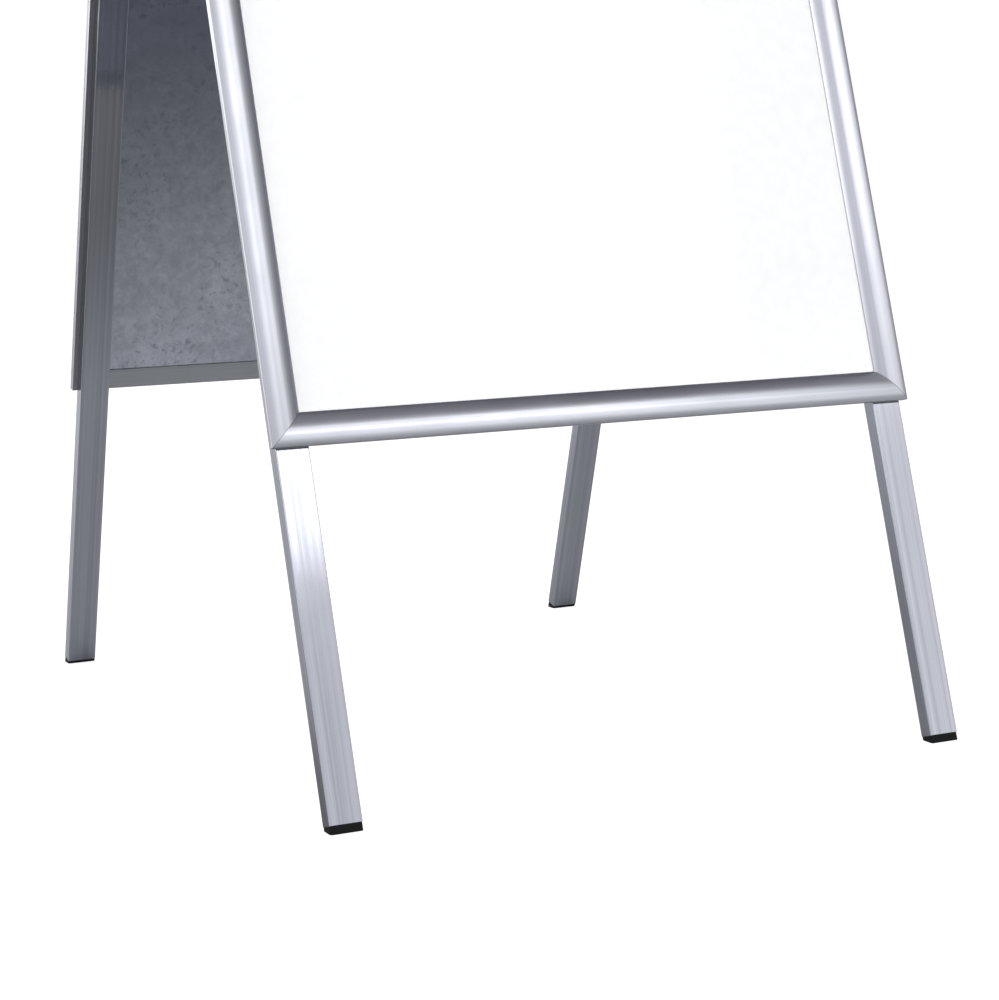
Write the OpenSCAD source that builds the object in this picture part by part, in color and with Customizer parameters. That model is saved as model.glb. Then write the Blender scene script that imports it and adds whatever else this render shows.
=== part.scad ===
// Double-sided A-board: two snap frames on tube legs, hinged at the top and held open
// by two folding stays. Origin: centre of the footprint on the ground. +Z up, the front
// panel faces -Y.
//
// Panel coordinates, used by most modules below: x across the panel from its centre,
// y up the panel from the bottom edge of the poster frame, z outwards from the front
// face of the legs. Rail coordinates: x along the rail, y inwards from its outer edge,
// z outwards from the front face of the legs.

/* [Panels] */
// Outside width of a poster frame
frame_w = 638; // [420:1:800]
// Outside height of a poster frame
frame_h = 885; // [560:1:1250]
// Angle between the two panels when the board stands open
open_angle = 35; // [24:0.5:44]

/* [Snap cover] */
// Width of a cover, from the frame's outer edge to its inner lip
cover_w = 29.4; // [27:0.1:36]
// Thickness of the cover's shell
cover_t = 1.4; // [1:0.1:1.6]
// Height of the cover's crown above the front face of the legs
crown_h = 10.6; // [10:0.1:14]
// Distance of the crown from the frame's outer edge
crown_in = 13.8; // [12:0.1:16]
// Thickness of the hook that turns on the rail's bead
hook_t = 0.97; // [0.8:0.01:1.1]
// Gap in a cover's mitre, along the rail, on each side of the joint
mitre_gap = 0.2; // [0.15:0.01:0.4]

/* [Base rail] */
// Width of the rail's flat back
rail_w = 21.1; // [20.6:0.1:23]
// Thickness of the rail's floor
floor_t = 1.3; // [1:0.1:1.6]
// Thickness of the rail's outer wall
wall_t = 1; // [0.8:0.1:1]
// Radius of the bead that the cover turns on
bead_r = 1.25; // [1.15:0.01:1.4]
// Height of the bead's centre above the front face of the legs
bead_h = 4.7; // [4.5:0.1:5.2]
// Thickness of the rib and of the stop inside the rail
rib_t = 1; // [0.7:0.1:1.2]
// Distance of the spring rib from the frame's outer edge
rib_in = 7.2; // [7:0.1:7.6]
// Distance of the sheet stop from the frame's outer edge
stop_in = 16.8; // [16.6:0.1:17.2]

/* [Sheets] */
// Thickness of the steel back sheet
sheet_t = 0.6; // [0.4:0.1:0.8]
// Thickness of the poster
poster_t = 0.3; // [0.2:0.05:0.4]
// Thickness of the clear protector
protector_t = 0.5; // [0.3:0.1:0.6]
// Gap between the back sheet's edge and the stop in the rail
sheet_gap = 0.1; // [0.1:0.1:1]
// Gap between the poster's edge and the stop in the rail
poster_gap = 4.2; // [1:0.1:6]
// Gap between the protector's edge and the stop in the rail
protector_gap = 2.7; // [1:0.1:5]

/* [Legs] */
// Width of the leg tube across the panel
leg_w = 30; // [26:0.5:36]
// Depth of the leg tube
leg_d = 15; // [13:0.5:20]
// Wall of the leg tube
leg_t = 1.5; // [1.2:0.1:2]
// Radius of the leg tube's corners
leg_r = 1; // [0.5:0.1:1.2]
// Distance of the leg from the frame's outer edge
leg_in = 5.2; // [3:0.1:6]
// Length of leg below the frame
leg_drop = 314.5; // [150:0.5:450]
// Height of the foot cap at the leg's front face
foot_h = 7.5; // [6.5:0.1:12]
// Depth of a plastic plug inside the tube
plug_depth = 16; // [10:1:30]
// Thickness of the cap on top of a leg
cap_t = 2; // [1.5:0.1:3]
// Number of rivets that hold a leg to its rail
leg_rivets = 5; // [3:1:7]
// Distance of the end rivets from the frame's edge
rivet_end = 74; // [66:1:110]

/* [Hinges] */
// Distance of the hinge axis behind the leg's rear face
hinge_gap = 5; // [5:0.5:8]
// Height of the hinge axis above the frame
hinge_rise = 19; // [16:0.5:30]
// Thickness of a hinge leaf
leaf_t = 2; // [1.5:0.1:3]
// Width of a hinge leaf on the leg
leaf_w = 13; // [11:0.5:13]
// Length of a hinge leaf below the axis
leaf_len = 120; // [106:1:160]
// Radius of a leaf's eye
eye_r = 9; // [8:0.1:10]
// Radius of the hinge pin
pin_r = 3; // [2.5:0.1:4]

/* [Stays] */
// Distance of the stay's pivots below the hinge axis
stay_drop = 330; // [260:1:380]
// Width of a stay link
link_w = 14; // [12:0.5:15]
// Thickness of a stay link
link_t = 2; // [1.5:0.1:3]
// Radius of the stay's pivot pins
pivot_r = 2.5; // [2:0.1:3]

/* [Clearances] */
// Radial clearance of a part that turns on a pin or a bead
running_gap = 0.08; // [0.05:0.01:0.1]
// Gap between flat faces that move past each other
side_gap = 0.3; // [0.2:0.05:0.4]
// Radial clearance of a rivet in its hole
rivet_gap = 0.05; // [0.02:0.01:0.1]

/* [Hidden] */
$fn = 96;

LEFT = -1;
RIGHT = 1;
far = 60;       // longer than any section is wide
cut = 1;        // how far a cutting solid runs past the face it cuts

// Lean of each panel, and where the hinge axis lies
tilt = open_angle / 2;
axis_back = leg_d + hinge_gap;
axis_up = frame_h + hinge_rise;
hinge_z = (axis_up + leg_drop + foot_h) * cos(tilt) - axis_back * sin(tilt);

// Stack of sheets on the rail's floor, inside the stop
stop_end = stop_in + rib_t;
sheet_z = floor_t;
poster_z = sheet_z + sheet_t;
protector_z = poster_z + poster_t;
protector_top = protector_z + protector_t;
lip_z = protector_top + side_gap;

// Rail section
bead_in = bead_r;
wall_set_back = 0.4;               // the opened hook passes outside the wall
rib_top = floor_t + 0.9;
mitre_seam = 0.05;

// Cover section: an arc from the hook to the crown and one from the crown to the lip
hook_in_r = bead_r + running_gap;
hook_r = hook_in_r + hook_t;
hook_top = 120;                    // direction of the hook's upper end, seen from the bead
hook_wrap = 195;                   // how far the hook wraps round the bead
hook_end_gap = bead_in + hook_r + 0.5;
crown_over_bead = crown_h - bead_h;
outer_run = crown_in - bead_in;
outer_r = (pow(outer_run, 2) + pow(crown_over_bead, 2) - pow(hook_r, 2))
    / (2 * (crown_over_bead - hook_r));
inner_run = cover_w - crown_in;
inner_drop = crown_h - lip_z;
inner_r = arc_radius(inner_run, inner_drop);

// Toe of the cover, which bears on the leaf springs
toe_t = 1.1;
toe_in = rib_in - 1.7;
toe_z = rib_top + 1;
toe_end_gap = 60;

// Leaf springs: arches that stand on the rail's floor under the toe
spring_t = 0.5;
spring_len = 46;
spring_rise = 3.3;
spring_in = (toe_in + stop_in) / 2;
spring_half = (stop_in - toe_in) / 2 - 0.15;
spring_r = arc_radius(spring_half, spring_rise);

// Corner keys lie between the rib and the stop
key_gap = 0.4;
key_in = rib_in + rib_t + key_gap;
key_w = stop_in - key_in - key_gap;
key_arm = 52;
key_t = 1;

// Blind rivets, with a domed head between the rib and the stop
rivet_r = 2;
rivet_in = (rib_in + rib_t + stop_in) / 2;
rivet_head_r = stop_in - rivet_in - key_gap;
rivet_head_t = 1.1;
rivet_rim_t = 0.25;
rivet_dome_r = arc_radius(rivet_head_r, rivet_head_t - rivet_rim_t);
rivet_tail_r = 3;
rivet_tail_t = 1.2;

// Legs
leg_len = leg_drop + frame_h;
leg_x = frame_w / 2 - leg_in - leg_w / 2;
leg_side_x = frame_w / 2 - leg_in - leg_w;
leg_mid_y = -hinge_gap - leg_d / 2;
cap_r = 2.5;
plug_gap = 0.1;
seat = 0.5;        // how far a plug's body runs into its own cap

// Hinges, heights measured from the axis
leaf_gap = 0.2;
leaf_rivet_low = 14 - leaf_len;
leaf_rivet_high = leaf_rivet_low + 28;
leaf_rivets_z = [leaf_rivet_low, leaf_rivet_high];
joggle_low = leaf_rivet_high + 16;
joggle_high = joggle_low + 8;
neck_z = -hinge_rise - 15;
neck_half = eye_r - 1;
pin_head_r = 5.5;
pin_head_t = 2;

// Stays: straight and level when the board is open
link_len = -leg_mid_y * cos(tilt) + stay_drop * sin(tilt);
pivot_head_r = 4.6;
pivot_head_t = 1.4;
stay_rivet_head_r = 4;
front_link_x = side_gap;
rear_link_x = front_link_x + link_t + side_gap;

// Radius of an arc that falls by drop over run from its crown
function arc_radius(run, drop) = (pow(run, 2) + pow(drop, 2)) / (2 * drop);

// ---- placing ----

// Hinge frame of the front panel: axis at the origin, z up the leaning panel
module front_hinge_frame() {
    translate([0, 0, hinge_z]) rotate([-tilt, 0, 0]) children();
}

// The rear panel is the front one turned about the vertical axis
module rear_hinge_frame() {
    rotate([0, 0, 180]) front_hinge_frame() children();
}

// Panel coordinates inside a hinge frame
module panel() {
    translate([0, -axis_back, -axis_up]) rotate([90, 0, 0]) children();
}

module front_panel() {
    front_hinge_frame() panel() children();
}

module rear_panel() {
    rear_hinge_frame() panel() children();
}

// The inner side face of a leg, with x running towards the middle of the board
module leg_side(side) {
    mirror([side == RIGHT ? 1 : 0, 0, 0]) translate([-leg_side_x, 0, 0]) children();
}

// Rail coordinates of one side of the frame, side 0 at the bottom, then anticlockwise
module on_side(side) {
    half = side % 2 == 0 ? frame_w / 2 : frame_h / 2;
    reach = side % 2 == 0 ? frame_h / 2 : frame_w / 2;
    translate([0, frame_h / 2, 0]) rotate([0, 0, 90 * side]) translate([-half, -reach, 0]) children();
}

function side_len(side) = side % 2 == 0 ? frame_w : frame_h;

BOTTOM_SIDE = 0;
RIGHT_SIDE = 1;
TOP_SIDE = 2;
LEFT_SIDE = 3;

// ---- shared shapes ----

// Rectangle with round corners, centred
module round_rect(w, d, r) {
    square([w - 2 * r, d], center = true);
    square([w, d - 2 * r], center = true);
    for (x = [-1, 1], y = [-1, 1]) translate([x * (w / 2 - r), y * (d / 2 - r)]) circle(r);
}

// Straight stretch of a section given in (inwards, outwards), along x
module along_rail(len) {
    rotate([90, 0, 90]) linear_extrude(len) children();
}

// Plate of a shape given in (y, z), of thickness t from x = 0
module plate(t) {
    rotate([90, 0, 90]) linear_extrude(t) children();
}

// Round bar along x
module bar_x(r, from, to) {
    translate([from, 0, 0]) rotate([0, 90, 0]) cylinder(h = to - from, r = r);
}

// What lies between the two mitre planes of a rail
module mitred(len, gap) {
    translate([0, 0, -cut]) linear_extrude(far) polygon([
        [gap, 0], [len - gap, 0], [len - gap - far, far], [gap + far, far]
    ]);
}

// Rivet with its head on z = 0, its shank below, and its tail under a wall of thickness grip
module rivet(grip) {
    intersection() {
        cylinder(h = rivet_head_t, r = rivet_head_r);
        translate([0, 0, rivet_head_t - rivet_dome_r]) sphere(rivet_dome_r);
    }
    translate([0, 0, -grip - rivet_tail_t]) cylinder(h = grip + rivet_tail_t, r = rivet_r);
    translate([0, 0, -grip - rivet_tail_t]) cylinder(h = rivet_tail_t, r = rivet_tail_r);
}

// ---- base rails ----

module rail_section() {
    translate([wall_set_back, 0]) square([rail_w - wall_set_back, floor_t]);
    translate([wall_set_back, 0]) square([wall_t, bead_h]);
    translate([bead_in, bead_h]) circle(bead_r);
    translate([rib_in, 0]) square([rib_t, rib_top]);
    translate([stop_in, 0]) square([rib_t, protector_top]);
}

function leg_rivet_at(i) = rivet_end + i * (frame_h - 2 * rivet_end) / (leg_rivets - 1);

module leg_rivet_holes() {
    for (i = [0 : leg_rivets - 1]) translate([leg_rivet_at(i), rivet_in, -cut])
        cylinder(h = floor_t + 2 * cut, r = rivet_r + rivet_gap);
}

module base_rail(side) {
    color("lightslategray") on_side(side) difference() {
        intersection() {
            along_rail(side_len(side)) rail_section();
            mitred(side_len(side), mitre_seam);
        }
        if (side % 2 == 1) leg_rivet_holes();
    }
}

// ---- snap covers ----

// Region under the cover's two arcs, drawn in by inset
module arch(inset) {
    intersection() {
        translate([crown_in, crown_h - outer_r]) circle(outer_r - inset);
        translate([-far, -far]) square([far + crown_in, 2 * far]);
    }
    intersection() {
        translate([crown_in, crown_h - inner_r]) circle(inner_r - inset);
        translate([crown_in, -far]) square([far, 2 * far]);
    }
}

// Everything on the open side of the hook, seen from the bead
module hook_mouth() {
    steps = 5;
    mouth = 360 - hook_wrap;
    translate([bead_in, bead_h]) polygon(concat([[0, 0]], [
        for (i = [0 : steps]) far * [cos(hook_top + mouth * i / steps), sin(hook_top + mouth * i / steps)]
    ]));
}

module cover_section() {
    difference() {
        union() {
            difference() {
                arch(0);
                arch(cover_t);
                translate([-far, lip_z - far]) square([2 * far, far]);
                translate([-far, -far]) square([far + bead_in, far + bead_h]);
            }
            translate([bead_in, bead_h]) circle(hook_r);
        }
        translate([bead_in, bead_h]) circle(hook_in_r);
        hook_mouth();
    }
}

// Foot of the cover that bears on the leaf springs
module toe_section() {
    intersection() {
        translate([toe_in, toe_z]) square([toe_t, crown_h]);
        arch(cover_t / 2);
    }
}

module cover(side) {
    len = side_len(side);
    color("silver") on_side(side) {
        difference() {
            intersection() {
                along_rail(len) cover_section();
                mitred(len, mitre_gap);
            }
            for (x = [-cut, len - hook_end_gap])
                translate([x, -far, 0]) cube([hook_end_gap + cut, far + hook_end_gap, bead_h]);
        }
        translate([toe_end_gap, 0, 0]) along_rail(len - 2 * toe_end_gap) toe_section();
    }
}

// An arch that stands on the rail's floor
module spring_section() {
    intersection() {
        translate([spring_in, floor_t + spring_rise - spring_r]) difference() {
            circle(spring_r);
            circle(spring_r - spring_t);
        }
        translate([0, floor_t]) square(far);
    }
}

// Centres of a rail's springs: a side rail's lie midway between its leg rivets
function spring_places(side) = side % 2 == 1
    ? [leg_rivet_at(0.5), leg_rivet_at(leg_rivets - 1.5)]
    : [frame_w / 4, frame_w * 3 / 4];

module springs() {
    color("dimgray") for (side = [0 : 3], place = spring_places(side)) on_side(side)
        translate([place - spring_len / 2, 0, 0]) along_rail(spring_len) spring_section();
}

module corner_keys() {
    color("gainsboro") for (side = [0 : 3]) on_side(side)
        translate([key_in, key_in, floor_t]) {
            cube([key_arm, key_w, key_t]);
            cube([key_w, key_arm, key_t]);
        }
}

// ---- sheets ----

module sheet(inset, z, t) {
    translate([inset - frame_w / 2, inset, z]) cube([frame_w - 2 * inset, frame_h - 2 * inset, t]);
}

module back_sheet() {
    color("slategray") sheet(stop_end + sheet_gap, sheet_z, sheet_t);
}

module poster() {
    color("white") sheet(stop_end + poster_gap, poster_z, poster_t);
}

module protector() {
    color("aliceblue", 0.4) sheet(stop_end + protector_gap, protector_z, protector_t);
}

// ---- legs ----

// Solid along the leg, from a height up the panel, of a section centred on the tube
module along_leg(side, from, len) {
    translate([side * leg_x, from, -leg_d / 2]) rotate([-90, 0, 0]) linear_extrude(len) children();
}

module leg(side) {
    color("gainsboro") difference() {
        along_leg(side, -leg_drop, leg_len) difference() {
            round_rect(leg_w, leg_d, leg_r);
            round_rect(leg_w - 2 * leg_t, leg_d - 2 * leg_t, leg_r / 2);
        }
        for (i = [0 : leg_rivets - 1])
            translate([side * (frame_w / 2 - rivet_in), leg_rivet_at(i), -leg_t - cut])
                cylinder(h = leg_t + 2 * cut, r = rivet_r + rivet_gap);
        at_hinge() leg_side(side) leg_side_holes();
    }
}

// Holes for the hinge rivets and the stay's pivot, through the leg's inner side wall
module leg_side_holes() {
    for (z = leaf_rivets_z) translate([0, leg_mid_y, z])
        bar_x(rivet_r + rivet_gap, -leg_t - cut, cut);
    translate([0, leg_mid_y, -stay_drop]) bar_x(pivot_r + rivet_gap, -leg_t - cut, cut);
}

module plug_section() {
    round_rect(leg_w - 2 * leg_t - 2 * plug_gap, leg_d - 2 * leg_t - 2 * plug_gap, leg_r / 2);
}

// The hinge frame, seen from panel coordinates
module at_hinge() {
    translate([0, axis_up, -axis_back]) rotate([-90, 0, 0]) children();
}

// Everything below the ground, in panel coordinates
module ground() {
    at_hinge() rotate([tilt, 0, 0]) translate([0, 0, -hinge_z - far])
        cube([frame_w + far, 4 * axis_up, 2 * far], center = true);
}

// End cap whose lower face lies level on the ground
module foot(side) {
    color([0.07, 0.07, 0.07]) {
        along_leg(side, -leg_drop - seat, plug_depth + seat) plug_section();
        difference() {
            along_leg(side, -leg_drop - 2 * foot_h, 2 * foot_h) round_rect(leg_w, leg_d, cap_r);
            ground();
        }
    }
}

module plug(side) {
    color([0.07, 0.07, 0.07]) {
        along_leg(side, frame_h - plug_depth, plug_depth + seat) plug_section();
        along_leg(side, frame_h, cap_t) round_rect(leg_w, leg_d, cap_r);
    }
}

module leg_rivet_row(side) {
    for (i = [0 : leg_rivets - 1])
        translate([side * (frame_w / 2 - rivet_in), leg_rivet_at(i), floor_t]) rivet(floor_t + leg_t);
}

module leg_rivet_set() {
    color("silver") for (side = [LEFT, RIGHT]) leg_rivet_row(side);
}

// ---- hinges, in the hinge frame ----

module leaf_foot_shape() {
    translate([leg_mid_y - leaf_w / 2, -leaf_len]) square([leaf_w, leaf_len + neck_z]);
}

module leaf_neck_shape() {
    lean = atan2(neck_z, leg_mid_y) + 90;
    circle(eye_r);
    polygon([
        [leg_mid_y - leaf_w / 2, neck_z], [leg_mid_y + leaf_w / 2, neck_z],
        [neck_half * cos(lean), neck_half * sin(lean)],
        [-neck_half * cos(lean), -neck_half * sin(lean)]
    ]);
}

module leaf_holes(pin_hole_r) {
    bar_x(pin_hole_r, -cut, 4 * leaf_t);
    for (z = leaf_rivets_z) translate([0, leg_mid_y, z])
        bar_x(rivet_r + rivet_gap, -cut, 4 * leaf_t);
}

module front_leaf(side) {
    color("lightsteelblue") leg_side(side) difference() {
        plate(leaf_t) {
            leaf_foot_shape();
            leaf_neck_shape();
        }
        leaf_holes(pin_r + rivet_gap);
    }
}

// Its upper half steps inwards, past the front leaf
module rear_leaf(side) {
    step = leaf_t + leaf_gap;
    color("lightsteelblue") leg_side(side) difference() {
        union() {
            plate(leaf_t) translate([leg_mid_y - leaf_w / 2, -leaf_len])
                square([leaf_w, leaf_len + joggle_low]);
            translate([0, leg_mid_y + leaf_w / 2, 0]) rotate([90, 0, 0]) linear_extrude(leaf_w) polygon([
                [0, joggle_low], [leaf_t, joggle_low], [step + leaf_t, joggle_high], [step, joggle_high]
            ]);
            translate([step, 0, 0]) plate(leaf_t) {
                translate([leg_mid_y - leaf_w / 2, joggle_high]) square([leaf_w, neck_z - joggle_high]);
                leaf_neck_shape();
            }
        }
        leaf_holes(pin_r + running_gap);
    }
}

module hinge_pin(side) {
    grip = 2 * leaf_t + 2 * leaf_gap;
    color("gainsboro") leg_side(side) {
        bar_x(pin_head_r, -pin_head_t, 0);
        bar_x(pin_r, -pin_head_t / 2, grip + pin_head_t / 2);
        bar_x(pin_head_r, grip, grip + pin_head_t);
    }
}

module hinge_rivet_set() {
    color("silver") for (side = [LEFT, RIGHT], z = leaf_rivets_z) leg_side(side)
        translate([leaf_t, leg_mid_y, z]) rotate([0, 90, 0]) rivet(leaf_t + leg_t);
}

// ---- folding stays, in the hinge frame ----

module link_shape() {
    difference() {
        union() {
            circle(link_w / 2);
            translate([0, -link_w / 2]) square([link_len, link_w]);
            translate([link_len, 0]) circle(link_w / 2);
        }
        circle(pivot_r + running_gap);
        translate([link_len, 0]) circle(pivot_r + rivet_gap);
    }
}

// A stay's own frame: x towards the middle of the board, y along the straight stay
module on_stay(side) {
    leg_side(side) translate([0, leg_mid_y, -stay_drop]) rotate([tilt, 0, 0]) children();
}

module link(side, x) {
    color("lightsteelblue") on_stay(side) translate([x, 0, 0]) plate(link_t) link_shape();
}

// Half of the centre rivet, flush with the link's inner face, on the link's outer side
module front_half_rivet(side) {
    color("gainsboro") on_stay(side) translate([front_link_x, link_len, 0]) {
        bar_x(stay_rivet_head_r, -pivot_head_t, 0);
        bar_x(pivot_r, -pivot_head_t / 2, link_t);
    }
}

module rear_half_rivet(side) {
    color("gainsboro") on_stay(side) translate([rear_link_x, link_len, 0]) {
        bar_x(pivot_r, 0, link_t + pivot_head_t / 2);
        bar_x(stay_rivet_head_r, link_t, link_t + pivot_head_t);
    }
}

// Pivot pin riveted into the leg, with a spacer where the link stands off the leg
module stay_pivot(side, x) {
    color("gainsboro") on_stay(side) {
        head_x = x + link_t + side_gap;
        bar_x(pivot_head_r, -leg_t - pivot_head_t, -leg_t);
        bar_x(pivot_r, -leg_t - pivot_head_t / 2, head_x + pivot_head_t / 2);
        bar_x(pivot_head_r, head_x, head_x + pivot_head_t);
        if (x > side_gap) bar_x(pivot_head_r, 0, x - side_gap);
    }
}

// ---- nodes: the rear panel is turned about, so its left side is the panel's right ----

module front_left_leg() { front_panel() leg(LEFT); }
module front_right_leg() { front_panel() leg(RIGHT); }
module front_left_foot() { front_panel() foot(LEFT); }
module front_right_foot() { front_panel() foot(RIGHT); }
module front_left_plug() { front_panel() plug(LEFT); }
module front_right_plug() { front_panel() plug(RIGHT); }
module front_top_rail() { front_panel() base_rail(TOP_SIDE); }
module front_bottom_rail() { front_panel() base_rail(BOTTOM_SIDE); }
module front_left_rail() { front_panel() base_rail(LEFT_SIDE); }
module front_right_rail() { front_panel() base_rail(RIGHT_SIDE); }
module front_top_cover() { front_panel() cover(TOP_SIDE); }
module front_bottom_cover() { front_panel() cover(BOTTOM_SIDE); }
module front_left_cover() { front_panel() cover(LEFT_SIDE); }
module front_right_cover() { front_panel() cover(RIGHT_SIDE); }
module front_back_sheet() { front_panel() back_sheet(); }
module front_poster() { front_panel() poster(); }
module front_protector() { front_panel() protector(); }
module front_springs() { front_panel() springs(); }
module front_corner_keys() { front_panel() corner_keys(); }
module front_leg_rivets() { front_panel() leg_rivet_set(); }

module rear_left_leg() { rear_panel() leg(RIGHT); }
module rear_right_leg() { rear_panel() leg(LEFT); }
module rear_left_foot() { rear_panel() foot(RIGHT); }
module rear_right_foot() { rear_panel() foot(LEFT); }
module rear_left_plug() { rear_panel() plug(RIGHT); }
module rear_right_plug() { rear_panel() plug(LEFT); }
module rear_top_rail() { rear_panel() base_rail(TOP_SIDE); }
module rear_bottom_rail() { rear_panel() base_rail(BOTTOM_SIDE); }
module rear_left_rail() { rear_panel() base_rail(RIGHT_SIDE); }
module rear_right_rail() { rear_panel() base_rail(LEFT_SIDE); }
module rear_top_cover() { rear_panel() cover(TOP_SIDE); }
module rear_bottom_cover() { rear_panel() cover(BOTTOM_SIDE); }
module rear_left_cover() { rear_panel() cover(RIGHT_SIDE); }
module rear_right_cover() { rear_panel() cover(LEFT_SIDE); }
module rear_back_sheet() { rear_panel() back_sheet(); }
module rear_poster() { rear_panel() poster(); }
module rear_protector() { rear_panel() protector(); }
module rear_springs() { rear_panel() springs(); }
module rear_corner_keys() { rear_panel() corner_keys(); }
module rear_leg_rivets() { rear_panel() leg_rivet_set(); }

module left_hinge_front_leaf() { front_hinge_frame() front_leaf(LEFT); }
module left_hinge_rear_leaf() { rear_hinge_frame() rear_leaf(RIGHT); }
module left_hinge_pin() { front_hinge_frame() hinge_pin(LEFT); }
module right_hinge_front_leaf() { front_hinge_frame() front_leaf(RIGHT); }
module right_hinge_rear_leaf() { rear_hinge_frame() rear_leaf(LEFT); }
module right_hinge_pin() { front_hinge_frame() hinge_pin(RIGHT); }
module front_hinge_rivets() { front_hinge_frame() hinge_rivet_set(); }
module rear_hinge_rivets() { rear_hinge_frame() hinge_rivet_set(); }

module left_stay_front_link() { front_hinge_frame() link(LEFT, front_link_x); }
module left_stay_rear_link() { rear_hinge_frame() link(RIGHT, rear_link_x); }
module right_stay_front_link() { front_hinge_frame() link(RIGHT, front_link_x); }
module right_stay_rear_link() { rear_hinge_frame() link(LEFT, rear_link_x); }
module left_stay_front_rivet() { front_hinge_frame() front_half_rivet(LEFT); }
module left_stay_rear_rivet() { rear_hinge_frame() rear_half_rivet(RIGHT); }
module right_stay_front_rivet() { front_hinge_frame() front_half_rivet(RIGHT); }
module right_stay_rear_rivet() { rear_hinge_frame() rear_half_rivet(LEFT); }
module front_stay_pivots() {
    front_hinge_frame() for (side = [LEFT, RIGHT]) stay_pivot(side, front_link_x);
}
module rear_stay_pivots() {
    rear_hinge_frame() for (side = [LEFT, RIGHT]) stay_pivot(side, rear_link_x);
}

front_left_leg();
front_right_leg();
front_left_foot();
front_right_foot();
front_left_plug();
front_right_plug();
front_top_rail();
front_bottom_rail();
front_left_rail();
front_right_rail();
front_top_cover();
front_bottom_cover();
front_left_cover();
front_right_cover();
front_back_sheet();
front_poster();
front_protector();
front_springs();
front_corner_keys();
front_leg_rivets();
rear_left_leg();
rear_right_leg();
rear_left_foot();
rear_right_foot();
rear_left_plug();
rear_right_plug();
rear_top_rail();
rear_bottom_rail();
rear_left_rail();
rear_right_rail();
rear_top_cover();
rear_bottom_cover();
rear_left_cover();
rear_right_cover();
rear_back_sheet();
rear_poster();
rear_protector();
rear_springs();
rear_corner_keys();
rear_leg_rivets();
left_hinge_front_leaf();
left_hinge_rear_leaf();
left_hinge_pin();
right_hinge_front_leaf();
right_hinge_rear_leaf();
right_hinge_pin();
front_hinge_rivets();
rear_hinge_rivets();
left_stay_front_link();
left_stay_rear_link();
right_stay_front_link();
right_stay_rear_link();
left_stay_front_rivet();
left_stay_rear_rivet();
right_stay_front_rivet();
right_stay_rear_rivet();
front_stay_pivots();
rear_stay_pivots();
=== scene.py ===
"""Looks of a double-sided snap-frame A-board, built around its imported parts.

Lengths are metres. A panel has its own coordinates: x across it from its centre, y up it
from the lower edge of the poster frame, and z outwards from the front face of the legs.
A side of the frame has rail coordinates: x along it, y inwards from its outer edge, and
the same z.
"""

import logging
import math
from dataclasses import dataclass
from enum import Enum
from typing import Iterable, Optional, Sequence, Union

import bmesh
import bpy
from bpy.types import Material, Mesh, Node, NodeSocket, NodeTree, Object, bpy_prop_collection
from mathutils import Euler, Matrix, Vector


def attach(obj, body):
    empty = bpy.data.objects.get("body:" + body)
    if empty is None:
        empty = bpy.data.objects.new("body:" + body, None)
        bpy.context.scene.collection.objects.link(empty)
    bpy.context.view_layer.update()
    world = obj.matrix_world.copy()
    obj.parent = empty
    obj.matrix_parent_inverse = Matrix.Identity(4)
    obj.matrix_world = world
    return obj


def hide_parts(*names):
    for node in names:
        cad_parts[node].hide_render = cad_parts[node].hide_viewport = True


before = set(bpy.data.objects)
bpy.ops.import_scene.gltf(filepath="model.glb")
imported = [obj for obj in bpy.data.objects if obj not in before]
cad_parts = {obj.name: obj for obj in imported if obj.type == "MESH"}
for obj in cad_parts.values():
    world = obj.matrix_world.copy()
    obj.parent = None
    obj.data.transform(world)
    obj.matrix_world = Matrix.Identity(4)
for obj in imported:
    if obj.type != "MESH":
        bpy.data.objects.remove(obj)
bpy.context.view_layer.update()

LOG = logging.getLogger("a_board")
MERGE = 2e-6
SMOOTH_ANGLE = math.radians(32)
FLAT_ANGLE = math.radians(0.4)
Point = tuple[float, float]
Colour = tuple[float, float, float]
Value = Union[float, NodeSocket]
Tint = Union[Colour, NodeSocket]


class Panel(Enum):
    """The two leaning panels of the board."""

    FRONT = "front"
    REAR = "rear"


class Side(Enum):
    """The sides of a poster frame, anticlockwise from the bottom, in panel coordinates."""

    BOTTOM = 0
    RIGHT = 1
    TOP = 2
    LEFT = 3

    def named_on(self, panel: Panel) -> str:
        """The side's name on the board: the rear panel is turned about.

        Args:
            panel: The panel the side is on.

        Returns:
            The name.
        """
        if panel is Panel.REAR and self in (Side.LEFT, Side.RIGHT):
            return "left" if self is Side.RIGHT else "right"
        return self.name.lower()

    @property
    def upright(self) -> bool:
        """Whether the side runs up the panel."""
        return self in (Side.LEFT, Side.RIGHT)


class Hand(Enum):
    """The two legs of a panel, in panel coordinates."""

    LEFT = -1
    RIGHT = 1

    def named_on(self, panel: Panel) -> str:
        """The leg's name on the board."""
        return (Side.LEFT if self is Hand.LEFT else Side.RIGHT).named_on(panel)


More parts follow.
